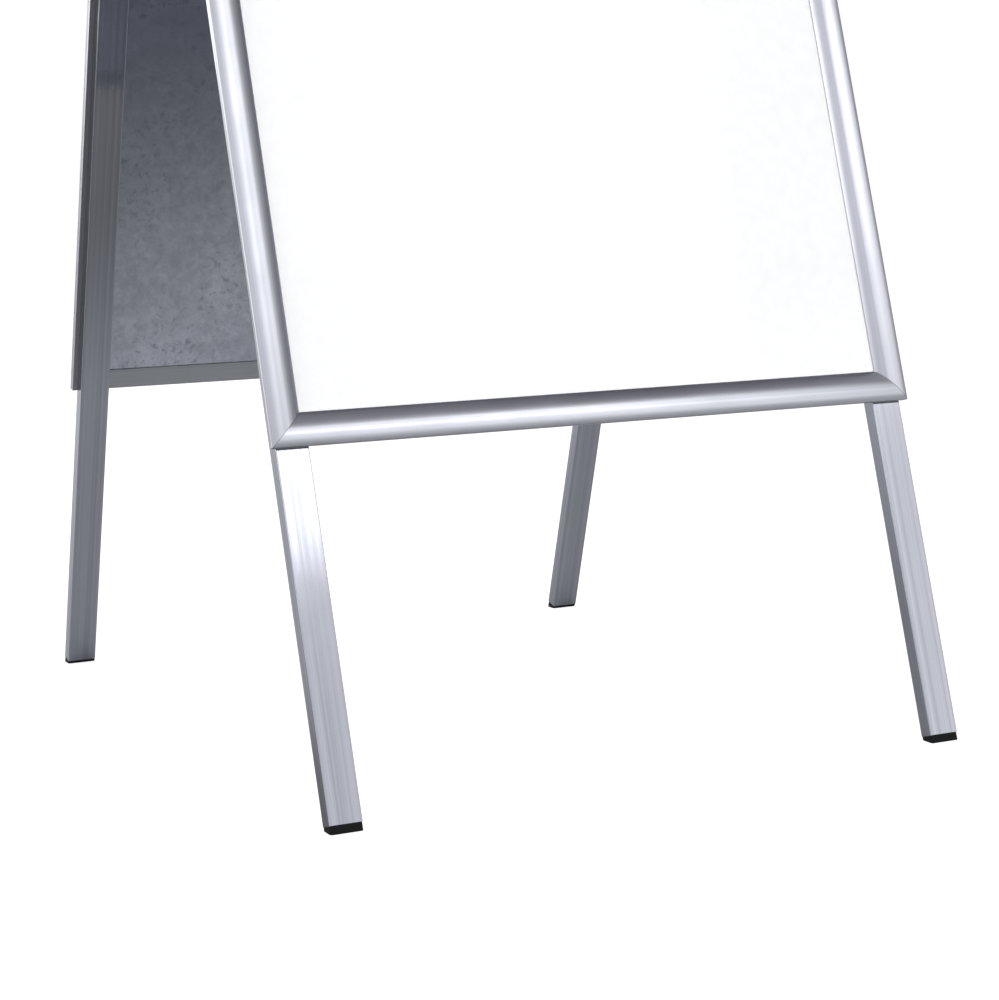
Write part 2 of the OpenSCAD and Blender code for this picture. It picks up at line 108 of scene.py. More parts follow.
@dataclass(frozen=True)
class BoardSizes:
    """Sizes that the sub-assemblies share."""

    frame_w: float = 0.638
    frame_h: float = 0.885
    tilt: float = math.radians(17.5)
    axis_back: float = 0.020
    axis_up: float = 0.904
    hinge_z: float = 1.163243
    leg_in: float = 0.0052
    leg_w: float = 0.030
    leg_d: float = 0.015
    floor_t: float = 0.0013

    def hinge_matrix(self, panel: Panel) -> Matrix:
        """The frame at the hinge axis, with z up the leaning panel.

        Args:
            panel: The panel.

        Returns:
            The matrix to the board's own coordinates.
        """
        turn = Matrix.Rotation(math.pi, 4, "Z") if panel is Panel.REAR else Matrix.Identity(4)
        lift = Matrix.Translation((0, 0, self.hinge_z))
        return turn @ lift @ Matrix.Rotation(-self.tilt, 4, "X")

    def panel_matrix(self, panel: Panel) -> Matrix:
        """From panel coordinates to the board's own."""
        drop = Matrix.Translation((0, -self.axis_back, -self.axis_up))
        return self.hinge_matrix(panel) @ drop @ Matrix.Rotation(math.pi / 2, 4, "X")

    def side_length(self, side: Side) -> float:
        """Length of a side of the frame along its outer edge."""
        return self.frame_h if side.upright else self.frame_w

    def side_matrix(self, panel: Panel, side: Side) -> Matrix:
        """From rail coordinates of a side to the board's own.

        Args:
            panel: The panel.
            side: Its side.

        Returns:
            The matrix.
        """
        half = self.side_length(side) / 2
        reach = (self.frame_w if side.upright else self.frame_h) / 2
        centre = Matrix.Translation((0, self.frame_h / 2, 0))
        turn = Matrix.Rotation(side.value * math.pi / 2, 4, "Z")
        return self.panel_matrix(panel) @ centre @ turn @ Matrix.Translation((-half, -reach, 0))


SIZES = BoardSizes()


# ---- node trees ----


class Tree:
    """Adds nodes to a tree and wires them."""

    def __init__(self, tree: NodeTree) -> None:
        """Keeps the tree that it fills."""
        self.tree = tree

    def node(self, kind: str, wires: Optional[dict] = None, **settings) -> Node:
        """Adds a node.

        Args:
            kind: The node's type name.
            wires: For each input, by name or place, a value or a socket to link.
            settings: The node's own properties.

        Returns:
            The new node.
        """
        made = self.tree.nodes.new(kind)
        for name, value in settings.items():
            setattr(made, name, value)
        for key, value in (wires or {}).items():
            if isinstance(value, NodeSocket):
                self.link(value, made.inputs[key])
            else:
                made.inputs[key].default_value = value
        return made

    def link(self, value: NodeSocket, to: NodeSocket) -> None:
        """Wires an output to an input."""
        self.tree.links.new(value, to)

    def maths(self, operation: str, a: Value, b: Value = 0.0, clamp: bool = False) -> NodeSocket:
        """Works out one number from two."""
        return self.node("ShaderNodeMath", {0: a, 1: b}, operation=operation, use_clamp=clamp).outputs[0]

    def remap(
        self, value: Value, low: float, high: float, to_low: float, to_high: float
    ) -> NodeSocket:
        """Maps a range onto another one, smoothly and within its ends."""
        wires = {0: value, 1: low, 2: high, 3: to_low, 4: to_high}
        return self.node("ShaderNodeMapRange", wires, interpolation_type="SMOOTHSTEP").outputs[0]

    def blend(self, factor: Value, a: Tint, b: Tint) -> NodeSocket:
        """Mixes two colours, the second by the factor."""
        a, b = (c if isinstance(c, NodeSocket) else (*c, 1.0) for c in (a, b))
        return self.node("ShaderNodeMix", {0: factor, 6: a, 7: b}, data_type="RGBA").outputs[2]

    def noise(
        self, vector: NodeSocket, scale: Value, detail: float = 3.0, rough: float = 0.5
    ) -> NodeSocket:
        """Smooth noise from 0 to 1."""
        wires = {"Vector": vector, "Scale": scale, "Detail": detail, "Roughness": rough}
        return self.node("ShaderNodeTexNoise", wires).outputs["Fac"]


def new_group(name: str, kind: str, inputs: Iterable[tuple], outputs: Iterable[tuple]) -> Tree:
    """Makes a node group with its sockets.

    Args:
        name: The group's name.
        kind: The tree's type name.
        inputs: For each input, its name, socket type and value, or None for no value.
        outputs: For each output, its name and socket type.

    Returns:
        The group's tree, with its input and output nodes in it.
    """
    group = bpy.data.node_groups.new(name, kind)
    for label, socket, value in inputs:
        made = group.interface.new_socket(label, in_out="INPUT", socket_type=socket)
        if value is not None:
            made.default_value = value
    for label, socket in outputs:
        group.interface.new_socket(label, in_out="OUTPUT", socket_type=socket)
    return Tree(group)


# ---- shader groups ----


class Effects:
    """The shader effects that several finishes share, each built once."""

    def __init__(self) -> None:
        """Builds the groups."""
        self.die_lines = self._die_lines()
        self.edge_wear = self._edge_wear()
        self.fine_grain = self._fine_grain()
        self.handling = self._handling()

    @staticmethod
    def _die_lines() -> NodeTree:
        """Long straight lines that an extrusion die leaves along a profile.

        Returns:
            The group.
        """
        tree = new_group(
            "die_lines",
            "ShaderNodeTree",
            [
                ("Vector", "NodeSocketVector", None),
                ("Lines", "NodeSocketVector", (900.0, 1.5, 900.0)),
                ("Contrast", "NodeSocketFloat", 1.0),
            ],
            [("Tone", "NodeSocketFloat"), ("Height", "NodeSocketFloat")],
        )
        given = tree.node("NodeGroupInput").outputs
        scaled = tree.node(
            "ShaderNodeVectorMath", {0: given["Vector"], 1: given["Lines"]}, operation="MULTIPLY"
        ).outputs[0]
        coarse = tree.noise(scaled, 0.32, 2.0)
        fine = tree.noise(scaled, 1.0, 2.0, 0.7)
        both = tree.maths("ADD", tree.maths("MULTIPLY", coarse, 0.6), tree.maths("MULTIPLY", fine, 0.4))
        centred = tree.maths("MULTIPLY", tree.maths("SUBTRACT", both, 0.5), given["Contrast"])
        tone = tree.maths("ADD", tree.maths("MULTIPLY", centred, 2.6), 0.5, clamp=True)
        tree.node("NodeGroupOutput", {"Tone": tone, "Height": fine})
        return tree.tree

    @staticmethod
    def _edge_wear() -> NodeTree:
        """Where the rounded edges are rubbed bare, from the pieces' own edge attribute.

        Returns:
            The group.
        """
        tree = new_group(
            "edge_wear",
            "ShaderNodeTree",
            [
                ("Vector", "NodeSocketVector", None),
                ("Edge", "NodeSocketFloat", 0.0),
                ("Amount", "NodeSocketFloat", 0.8),
                ("Patches", "NodeSocketFloat", 60.0),
            ],
            [("Mask", "NodeSocketFloat")],
        )
        given = tree.node("NodeGroupInput").outputs
        patches = tree.remap(tree.noise(given["Vector"], given["Patches"], 4.0, 0.6), 0.3, 0.62, 0.35, 1.0)
        mask = tree.maths("MULTIPLY", tree.maths("MULTIPLY", given["Edge"], patches), given["Amount"], True)
        tree.node("NodeGroupOutput", {"Mask": mask})
        return tree.tree

    @staticmethod
    def _fine_grain() -> NodeTree:
        """The fine even texture of a blasted, moulded or printed surface.

        Returns:
            The group.
        """
        tree = new_group(
            "fine_grain",
            "ShaderNodeTree",
            [("Vector", "NodeSocketVector", None), ("Grains", "NodeSocketFloat", 2500.0)],
            [("Tone", "NodeSocketFloat"), ("Height", "NodeSocketFloat")],
        )
        given = tree.node("NodeGroupInput").outputs
        grain = tree.noise(given["Vector"], given["Grains"], 2.0, 0.6)
        broad = tree.noise(given["Vector"], tree.maths("MULTIPLY", given["Grains"], 0.12), 2.0, 0.5)
        tone = tree.maths("ADD", tree.maths("MULTIPLY", grain, 0.6), tree.maths("MULTIPLY", broad, 0.4))
        tree.node("NodeGroupOutput", {"Tone": tone, "Height": grain})
        return tree.tree

    @staticmethod
    def _handling() -> NodeTree:
        """Faint cloudy marks of handling and dust, in patches of a few centimetres.

        Returns:
            The group.
        """
        tree = new_group(
            "handling",
            "ShaderNodeTree",
            [("Vector", "NodeSocketVector", None), ("Size", "NodeSocketFloat", 0.05)],
            [("Mask", "NodeSocketFloat")],
        )
        given = tree.node("NodeGroupInput").outputs
        scale = tree.maths("DIVIDE", 1.0, given["Size"])
        cloud = tree.noise(given["Vector"], scale, 5.0, 0.62)
        tree.node("NodeGroupOutput", {"Mask": tree.remap(cloud, 0.42, 0.72, 0.0, 1.0)})
        return tree.tree


class Grain(Enum):
    """Which way a profile was drawn, as the panel coordinates of its die lines."""

    UP = (1.0, 0.0, 1.0)
    ACROSS = (0.0, 1.0, 1.0)


@dataclass(frozen=True)
class Finish:
    """What every finish has."""

    name: str
    slot: str

    def start(self) -> tuple[Material, Tree, Node]:
        """Makes the material.

        Returns:
            The material, its tree, and its Principled BSDF.
        """
        material = bpy.data.materials.new(self.name)
        material.use_nodes = True
        return material, Tree(material.node_tree), material.node_tree.nodes["Principled BSDF"]

    @staticmethod
    def place(tree: Tree, panel: Optional[Panel] = None) -> NodeSocket:
        """Where a point is.

        Args:
            tree: The material's tree.
            panel: The panel whose coordinates are wanted, or None for the board's own.

        Returns:
            The vector's socket.
        """
        own = tree.node("ShaderNodeTexCoord").outputs["Object"]
        if panel is None:
            return own
        back = SIZES.panel_matrix(panel).inverted()
        return tree.node(
            "ShaderNodeMapping",
            {"Vector": own, "Location": back.to_translation(), "Rotation": back.to_euler("XYZ")},
        ).outputs[0]

    @staticmethod
    def effect(tree: Tree, group: NodeTree, wires: dict) -> bpy_prop_collection:
        """Places a shader group and gives its outputs."""
        return tree.node("ShaderNodeGroup", wires, node_tree=group).outputs

    @classmethod
    def worn(
        cls, tree: Tree, effects: Effects, where: NodeSocket, amount: float, patches: float = 60.0
    ) -> NodeSocket:
        """Where the rounded edges are rubbed bare.

        Args:
            tree: The material's tree.
            effects: The shared effects.
            where: Where a point is.
            amount: How much is rubbed, from 0 to 1.
            patches: How many patches of wear there are to a metre.

        Returns:
            The mask's socket.
        """
        edge = tree.node("ShaderNodeAttribute", attribute_name="edge").outputs["Fac"]
        wires = {"Vector": where, "Edge": edge, "Amount": amount, "Patches": patches}
        return cls.effect(tree, effects.edge_wear, wires)["Mask"]

    @staticmethod
    def bump(tree: Tree, height: Value, strength: float, distance: float) -> NodeSocket:
        """A normal from a height."""
        wires = {"Height": height, "Strength": strength, "Distance": distance}
        return tree.node("ShaderNodeBump", wires).outputs[0]


@dataclass(frozen=True)
class DrawnAluminium(Finish):
    """Extruded aluminium with die lines along the profile, bare or satin anodised."""

    panel: Panel = Panel.FRONT
    grain: Grain = Grain.UP
    dark: Colour = (0.40, 0.409, 0.445)
    light: Colour = (0.555, 0.563, 0.605)
    bare: Colour = (0.80, 0.80, 0.83)
    roughness: float = 0.36
    lines: float = 900.0
    line_contrast: float = 0.6
    line_height: float = 0.00002
    wear: float = 0.7
    dust: float = 0.10
    dust_size: float = 0.07
    waver: float = 1.2

    def build(self, effects: Effects) -> Material:
        """Makes the material from the shared effects.

        Args:
            effects: The shared effects.

        Returns:
            The material.
        """
        material, tree, shader = self.start()
        where = self.place(tree, self.panel)
        across = Vector(self.grain.value) * self.lines + Vector([self.waver] * 3)
        lines = self.effect(
            tree, effects.die_lines, {"Vector": where, "Lines": across, "Contrast": self.line_contrast}
        )
        clouds = self.effect(tree, effects.handling, {"Vector": where, "Size": self.dust_size})["Mask"]
        worn = self.worn(tree, effects, where, self.wear)
        metal = tree.blend(lines["Tone"], self.dark, self.light)
        dusty = tree.blend(tree.maths("MULTIPLY", clouds, self.dust), metal, self.dark)
        tree.link(tree.blend(worn, dusty, self.bare), shader.inputs["Base Color"])
        rough = tree.remap(lines["Tone"], 0.0, 1.0, self.roughness + 0.05, self.roughness - 0.03)
        smudged = tree.maths("ADD", rough, tree.maths("MULTIPLY", clouds, 0.05))
        tree.link(smudged, shader.inputs["Roughness"])
        grain = self.effect(tree, effects.fine_grain, {"Vector": where, "Grains": 3500.0})["Height"]
        height = tree.maths("ADD", lines["Height"], tree.maths("MULTIPLY", grain, 0.35))
        tree.link(self.bump(tree, height, 0.35, self.line_height), shader.inputs["Normal"])
        shader.inputs["Metallic"].default_value = 1.0
        return material


@dataclass(frozen=True)
class GalvanisedSteel(Finish):
    """Hot-dip galvanised sheet with its crystal spangle, cloudy zinc bloom and dark flecks, and painted
    shade that darkens it higher up the panel.
    """

    panel: Panel = Panel.FRONT
    dark: Colour = (0.29, 0.297, 0.345)
    light: Colour = (0.58, 0.59, 0.66)
    bloom: Colour = (0.68, 0.695, 0.74)
    # a dark zinc tone for the real flecks, also used as painted shade higher up the panel
    fleck_and_shade: Colour = (0.17, 0.18, 0.21)
    spangle: float = 170.0
    push: float = 0.012
    bloom_size: float = 0.011
    bloom_level: float = 0.22
    # the heights up the panel, and the blend levels, over which the painted shade comes in
    painted_shade_heights: Point = (0.24, 0.46)
    painted_shade_levels: Point = (0.05, 0.50)

    def build(self, effects: Effects) -> Material:
        """Makes the material from the shared effects.

        Args:
            effects: The shared effects.

        Returns:
            The material.
        """
        material, tree, shader = self.start()
        where = self.place(tree, self.panel)
        warp = tree.node(
            "ShaderNodeTexNoise", {"Vector": where, "Scale": 45.0, "Detail": 2.0}
        ).outputs["Color"]
        pushed = tree.node(
            "ShaderNodeVectorMath", {0: warp, 1: [self.push] * 3, 2: where}, operation="MULTIPLY_ADD"
        ).outputs[0]
        cells = tree.node("ShaderNodeTexVoronoi", {"Vector": pushed, "Scale": self.spangle})
        small = tree.node("ShaderNodeTexVoronoi", {"Vector": pushed, "Scale": self.spangle * 2.7})
        tone = tree.maths(
            "ADD",
            tree.maths("MULTIPLY", cells.outputs["Color"], 0.55),
            tree.maths("MULTIPLY", small.outputs["Color"], 0.45),
        )
        broad = tree.noise(where, 7.0, 3.0, 0.5)
        mottle = tree.noise(where, 60.0, 3.0, 0.55)
        mixed = tree.maths(
            "ADD",
            tree.maths("MULTIPLY", tone, 0.22),
            tree.maths("ADD", tree.maths("MULTIPLY", broad, 0.48), tree.maths("MULTIPLY", mottle, 0.30)),
        )
        zinc = tree.blend(tree.remap(mixed, 0.15, 0.85, 0.0, 1.0), self.dark, self.light)
        flecks = tree.remap(tree.noise(pushed, 150.0, 3.0, 0.6), 0.55, 0.64, 0.0, 1.0)
        thin = tree.maths("MULTIPLY", flecks, tree.remap(broad, 0.38, 0.60, 0.0, 0.5))
        flecked = tree.blend(thin, zinc, self.fleck_and_shade)
        bloomed = self.effect(tree, effects.handling, {"Vector": where, "Size": self.bloom_size})["Mask"]
        zinc_white = tree.blend(tree.maths("MULTIPLY", bloomed, self.bloom_level), flecked, self.bloom)
        # painted shade: higher up the panel the zinc is blended towards the dark tone, for the shade inside
        # the top of the board
        up = tree.node("ShaderNodeSeparateXYZ", {0: where}).outputs["Y"]
        wavy = tree.maths("ADD", up, tree.maths("MULTIPLY", broad, 0.25))
        painted_shade = tree.remap(wavy, *self.painted_shade_heights, *self.painted_shade_levels)
        colour = tree.blend(painted_shade, zinc_white, self.fleck_and_shade)
        tree.link(colour, shader.inputs["Base Color"])
        rough = tree.remap(mixed, 0.3, 0.8, 0.27, 0.19)
        tree.link(rough, shader.inputs["Roughness"])
        tree.link(self.bump(tree, tone, 0.25, 0.00005), shader.inputs["Normal"])
        shader.inputs["Metallic"].default_value = 1.0
        return material


@dataclass(frozen=True)
class MouldedPlastic(Finish):
    """Black polyamide with a fine spark-eroded texture, rubbed grey at its edges."""

    colour: Colour = (0.0035, 0.0037, 0.0042)
    rubbed: Colour = (0.028, 0.029, 0.031)
    grains: float = 1400.0
    gloss: float = 0.07
    wear: float = 0.5
    patches: float = 140.0

    def build(self, effects: Effects) -> Material:
        """Makes the material from the shared effects.

        Args:
            effects: The shared effects.

        Returns:
            The material.
        """
        material, tree, shader = self.start()
        where = self.place(tree)
        grain = self.effect(tree, effects.fine_grain, {"Vector": where, "Grains": self.grains})
        worn = self.worn(tree, effects, where, self.wear, self.patches)
        tinted = tree.blend(tree.maths("MULTIPLY", grain["Tone"], 0.25), self.colour, self.rubbed)
        tree.link(tree.blend(worn, tinted, self.rubbed), shader.inputs["Base Color"])
        tree.link(tree.remap(grain["Tone"], 0.3, 0.7, 0.42, 0.56), shader.inputs["Roughness"])
        tree.link(self.bump(tree, grain["Height"], 0.5, 0.0001), shader.inputs["Normal"])
        shader.inputs["Specular IOR Level"].default_value = self.gloss
        return material


@dataclass(frozen=True)
class PosterPaper(Finish):
    """Blank coated poster paper with a trace of fibre."""

    panel: Panel = Panel.FRONT
    white: Colour = (0.93, 0.93, 0.935)
    shade: Colour = (0.91, 0.912, 0.92)
    film_ior: float = 1.5
    film_roughness: float = 0.10
    grains: float = 900.0

    def build(self, effects: Effects) -> Material:
        """Makes the material from the shared effects.

        Args:
            effects: The shared effects.

        Returns:
            The material.
        """
        material, tree, shader = self.start()
        where = self.place(tree, self.panel)
        grain = self.effect(tree, effects.fine_grain, {"Vector": where, "Grains": self.grains})
        fibre = tree.remap(grain["Tone"], 0.35, 0.65, 0.0, 0.5)
        tree.link(tree.blend(fibre, self.white, self.shade), shader.inputs["Base Color"])
        tree.link(tree.remap(grain["Tone"], 0.3, 0.7, 0.55, 0.68), shader.inputs["Roughness"])
        tree.link(self.bump(tree, grain["Height"], 0.2, 0.00004), shader.inputs["Normal"])
        shader.inputs["Coat Weight"].default_value = 1.0
        shader.inputs["Coat IOR"].default_value = self.film_ior
        shader.inputs["Coat Roughness"].default_value = self.film_roughness
        return material


@dataclass(frozen=True)
class ClearSheet(Finish):
    """Anti-glare clear plastic: nearly invisible, with a fine matt grain."""

    panel: Panel = Panel.FRONT
    tint: Colour = (0.90, 0.91, 0.93)
    haze: float = 0.14
    dusty: Colour = (0.97, 0.97, 0.97)
    dust_size: float = 0.12
    grains: float = 700.0

    def build(self, effects: Effects) -> Material:
        """Makes the material from the shared effects.

        Args:
            effects: The shared effects.

        Returns:
            The material.
        """
        material, tree, shader = self.start()
        where = self.place(tree, self.panel)
        grain = self.effect(tree, effects.fine_grain, {"Vector": where, "Grains": self.grains})
        clouds = self.effect(tree, effects.handling, {"Vector": where, "Size": self.dust_size})["Mask"]
        tinted = tree.blend(tree.maths("MULTIPLY", clouds, 0.5), self.tint, self.dusty)
        tree.link(tinted, shader.inputs["Base Color"])
        cover = tree.remap(grain["Tone"], 0.3, 0.7, self.haze - 0.01, self.haze + 0.02)
        tree.link(cover, shader.inputs["Alpha"])
        tree.link(tree.remap(clouds, 0.0, 1.0, 0.30, 0.38), shader.inputs["Roughness"])
        tree.link(self.bump(tree, grain["Height"], 0.12, 0.00004), shader.inputs["Normal"])
        return material


@dataclass(frozen=True)
class PlainMetal(Finish):
    """Turned, pressed or plated metal with fine grain, stains and bright edges."""

    dark: Colour = (0.38, 0.39, 0.41)
    light: Colour = (0.58, 0.59, 0.61)
    bare: Colour = (0.75, 0.75, 0.76)
    roughness: float = 0.33
    patches: float = 30.0
    wear: float = 0.7
    grains: float = 2600.0

    def build(self, effects: Effects) -> Material:
        """Makes the material from the shared effects.

        Args:
            effects: The shared effects.

        Returns:
            The material.
        """
        material, tree, shader = self.start()
        where = self.place(tree)
        grain = self.effect(tree, effects.fine_grain, {"Vector": where, "Grains": self.grains})
        stain = self.effect(tree, effects.handling, {"Vector": where, "Size": 1 / self.patches})["Mask"]
        worn = self.worn(tree, effects, where, self.wear)
        metal = tree.blend(tree.remap(grain["Tone"], 0.3, 0.7, 0.0, 1.0), self.dark, self.light)
        stained = tree.blend(tree.maths("MULTIPLY", stain, 0.3), metal, self.dark)
        tree.link(tree.blend(worn, stained, self.bare), shader.inputs["Base Color"])
        rough = tree.remap(stain, 0.0, 1.0, self.roughness, self.roughness + 0.14)
        tree.link(rough, shader.inputs["Roughness"])
        tree.link(self.bump(tree, grain["Height"], 0.3, 0.00004), shader.inputs["Normal"])
        shader.inputs["Metallic"].default_value = 1.0
        return material


class Finishes:
    """All the finishes of the board, built once and asked for by purpose."""

    def __init__(self) -> None:
        """Builds the shared effects."""
        self.effects = Effects()
        self.made: dict[str, Material] = {}

    def get(self, finish: Finish) -> Material:
        """The material of a finish, built when it is first wanted.

        Args:
            finish: The finish.

        Returns:
            Its material.
        """
        if finish.name not in self.made:
            self.made[finish.name] = finish.build(self.effects)
            LOG.info("finish %s", finish.name)
        return self.made[finish.name]

    @staticmethod
    def cover(panel: Panel, grain: Grain) -> Finish:
        """Satin anodised aluminium of the snap covers."""
        return DrawnAluminium(
            f"cover_{panel.value}_{grain.name.lower()}", "cover_aluminium", panel=panel, grain=grain
        )

    @staticmethod
    def rail(panel: Panel, grain: Grain) -> Finish:
        """Mill-finish aluminium of the base rails.

        Args:
            panel: The panel.
            grain: Which way the rail was drawn.

        Returns:
            The finish.
        """
        return DrawnAluminium(
            f"rail_{panel.value}_{grain.name.lower()}",
            "rail_aluminium",
            panel=panel,
            grain=grain,
            dark=(0.29, 0.30, 0.315),
            light=(0.42, 0.432, 0.45),
            roughness=0.36,
            line_contrast=0.8,
        )

    @staticmethod
    def leg(panel: Panel) -> Finish:
        """Mill-finish aluminium tube, with clear die lines.

        Args:
            panel: The panel.

        Returns:
            The finish.
        """
        return DrawnAluminium(
            f"leg_{panel.value}",
            "leg_aluminium",
            panel=panel,
            dark=(0.235, 0.243, 0.272),
            light=(0.40, 0.409, 0.45),
            roughness=0.09,
            lines=620.0,
            line_contrast=0.9,
            line_height=0.00002,
        )

    @staticmethod
    def steel_sheet(panel: Panel) -> Finish:
        """The back sheet."""
        return GalvanisedSteel(f"galvanised_{panel.value}", "galvanised_sheet", panel=panel)

    @staticmethod
    def paper(panel: Panel) -> Finish:
        """The blank poster."""
        return PosterPaper(f"paper_{panel.value}", "poster_paper", panel=panel)

    @staticmethod
    def clear(panel: Panel) -> Finish:
        """The clear protector."""
        return ClearSheet(f"clear_{panel.value}", "clear_protector", panel=panel)

    PLASTIC = MouldedPlastic("black_plastic", "black_plastic")
    SPRING = PlainMetal(
        "spring_steel", "spring_steel", dark=(0.10, 0.105, 0.12), light=(0.20, 0.20, 0.215), roughness=0.30
    )
    ZINC = PlainMetal(
        "zinc_steel", "zinc_steel", dark=(0.36, 0.375, 0.40), light=(0.56, 0.575, 0.60), patches=55.0
    )
    RIVET = PlainMetal(
        "rivet_aluminium", "rivet_aluminium", dark=(0.50, 0.505, 0.52), light=(0.66, 0.665, 0.68)
    )
    KEY = PlainMetal(
        "corner_key_steel", "zinc_steel", dark=(0.40, 0.41, 0.43), light=(0.60, 0.61, 0.62), patches=40.0
    )


FINISHES = Finishes()


# ---- meshes ----


def new_object(name: str, mesh: Mesh) -> Object:
    """Puts a mesh in the scene as an object at the origin.

    Args:
        name: The object's name.
        mesh: The mesh.

    Returns:
        The object.
    """
    made = bpy.data.objects.new(name, mesh)
    bpy.context.scene.collection.objects.link(made)
    return made


def mesh_from(bm: bmesh.types.BMesh, name: str) -> Mesh:
    """Turns an edit mesh into a mesh and frees it.

    Args:
        bm: The edit mesh.
        name: The mesh's name.

    Returns:
        The mesh.
    """
    mesh = bpy.data.meshes.new(name)
    bm.to_mesh(mesh)
    bm.free()
    return mesh


def prism(loop: Sequence[Point], start: float, end: float) -> Mesh:
    """A straight bar of a section given in (y, z), anticlockwise, from x start to x end.

    Args:
        loop: The section's outline.
        start: Where the bar starts.
        end: Where it ends.

    Returns:
        The mesh.
    """
    bm = bmesh.new()
    near = [bm.verts.new((start, y, z)) for y, z in loop]
    away = [bm.verts.new((end, y, z)) for y, z in loop]
    bm.faces.new(list(reversed(near)))
    bm.faces.new(away)
    for i in range(len(loop)):
        j = (i + 1) % len(loop)
        bm.faces.new((near[i], near[j], away[j], away[i]))
    return mesh_from(bm, "prism")


def loft(rings: Sequence[Sequence[Vector]], closed: bool = True) -> Mesh:
    """A skin over rings of equal length, each anticlockwise seen from the next one.

    Args:
        rings: The rings' points, in order along the piece.
        closed: Whether the two ends get a face; if not, the last ring joins the first.

    Returns:
        The mesh.
    """
    bm = bmesh.new()
    made = [[bm.verts.new(p) for p in ring] for ring in rings]
    pairs = list(zip(made, made[1:])) + ([] if closed else [(made[-1], made[0])])
    for lower, upper in pairs:
        for i in range(len(lower)):
            j = (i + 1) % len(lower)
            bm.faces.new((lower[i], lower[j], upper[j], upper[i]))
    if closed:
        bm.faces.new(list(reversed(made[0])))
        bm.faces.new(made[-1])
    return mesh_from(bm, "loft")


def arc(centre: Point, radius: float, start: float, end: float, steps: int) -> list[Point]:
    """Points on an arc, with its angles in degrees."""
    angles = [math.radians(start + (end - start) * i / steps) for i in range(steps + 1)]
    return [(centre[0] + radius * math.cos(a), centre[1] + radius * math.sin(a)) for a in angles]


def round_rect(w: float, d: float, r: float, steps: int) -> list[Point]:
    """Outline of a centred rectangle with round corners, anticlockwise.

    Args:
        w: Width.
        d: Depth.
        r: Radius of the corners.
        steps: Edges in each corner.

    Returns:
        The points.
    """
    corners = [(1, 1, 0), (-1, 1, 90), (-1, -1, 180), (1, -1, 270)]
    return [
        p
        for sx, sy, a in corners
        for p in arc((sx * (w / 2 - r), sy * (d / 2 - r)), r, a, a + 90, steps)
    ]


def lathe(profile: Sequence[Point], steps: int) -> Mesh:
    """A turned solid about z, of a profile of (radius, height) points from the top down.

    Args:
        profile: The points.
        steps: Edges around it.

    Returns:
        The mesh.
    """
    bm = bmesh.new()
    rings = []
    for r, h in profile:
        if r == 0:
            rings.append([bm.verts.new((0, 0, h))])
        else:
            turns = [2 * math.pi * i / steps for i in range(steps)]
            rings.append([bm.verts.new((r * math.cos(a), r * math.sin(a), h)) for a in turns])
    for upper, lower in zip(rings, rings[1:]):
        for i in range(steps):
            j = (i + 1) % steps
            if len(upper) == 1:
                bm.faces.new((upper[0], lower[i], lower[j]))
            elif len(lower) == 1:
                bm.faces.new((upper[j], upper[i], lower[0]))
            else:
                bm.faces.new((upper[j], upper[i], lower[i], lower[j]))
    return mesh_from(bm, "lathe")


def joined(meshes: Iterable[Mesh]) -> Mesh:
    """One mesh that holds all the given ones.

    Args:
        meshes: The meshes.

    Returns:
        The mesh.
    """
    bm = bmesh.new()
    for mesh in meshes:
        bm.from_mesh(mesh)
    return mesh_from(bm, "joined")


def smooth(mesh: Mesh) -> None:
    """Shades a mesh smooth, apart from its real edges."""
    mesh.shade_smooth()
    mesh.set_sharp_from_angle(angle=SMOOTH_ANGLE)


def plain(piece: Object) -> Mesh:
    """Turns what the modifiers make into the piece's own mesh, and removes them.

    Args:
        piece: The piece.

    Returns:
        Its new mesh.
    """
    graph = bpy.context.evaluated_depsgraph_get()
    mesh = bpy.data.meshes.new_from_object(piece.evaluated_get(graph))
    piece.modifiers.clear()
    piece.data = mesh
    return mesh


def bevelled(mesh: Mesh, width: float, steps: int = 2, angle: float = 30.0) -> Mesh:
    """Rounds the sharp edges, and marks the narrow faces it makes in the edge attribute.

    Args:
        mesh: A closed mesh.
        width: How far the rounding runs back from an edge.
        steps: The number of faces across it.
        angle: The least angle of an edge that is rounded, in degrees.

    Returns:
        The rounded mesh.
    """
    mesh.materials.clear()
    for _ in range(2):
        mesh.materials.append(None)
    piece = new_object("bevel_work", mesh)
    rounding = piece.modifiers.new("rounding", "BEVEL")
    rounding.width = width
    rounding.segments = steps
    rounding.limit_method = "ANGLE"
    rounding.angle_limit = math.radians(angle)
    rounding.material = 1
    rounding.use_clamp_overlap = True
    made = plain(piece)
    edge = made.attributes.new("edge", "FLOAT", "FACE")
    edge.data.foreach_set("value", [float(f.material_index == 1) for f in made.polygons])
    for face in made.polygons:
        face.material_index = 0
    made.materials.clear()
    bpy.data.objects.remove(piece)
    return made


def refined(node: str, width: float, steps: int = 2) -> Mesh:
    """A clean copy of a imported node's mesh with its sharp edges rounded.

    Args:
        node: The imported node.
        width: How far the rounding runs back.
        steps: The faces across it.

    Returns:
        The mesh.
    """
    bm = bmesh.new()
    bm.from_mesh(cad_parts[node].data)
    bmesh.ops.remove_doubles(bm, verts=bm.verts, dist=MERGE)
    bmesh.ops.dissolve_limit(bm, angle_limit=FLAT_ANGLE, verts=bm.verts, edges=bm.edges)
    mesh = mesh_from(bm, node)
    if "custom_normal" in mesh.attributes:
        mesh.attributes.remove(mesh.attributes["custom_normal"])
    return bevelled(mesh, width, steps)


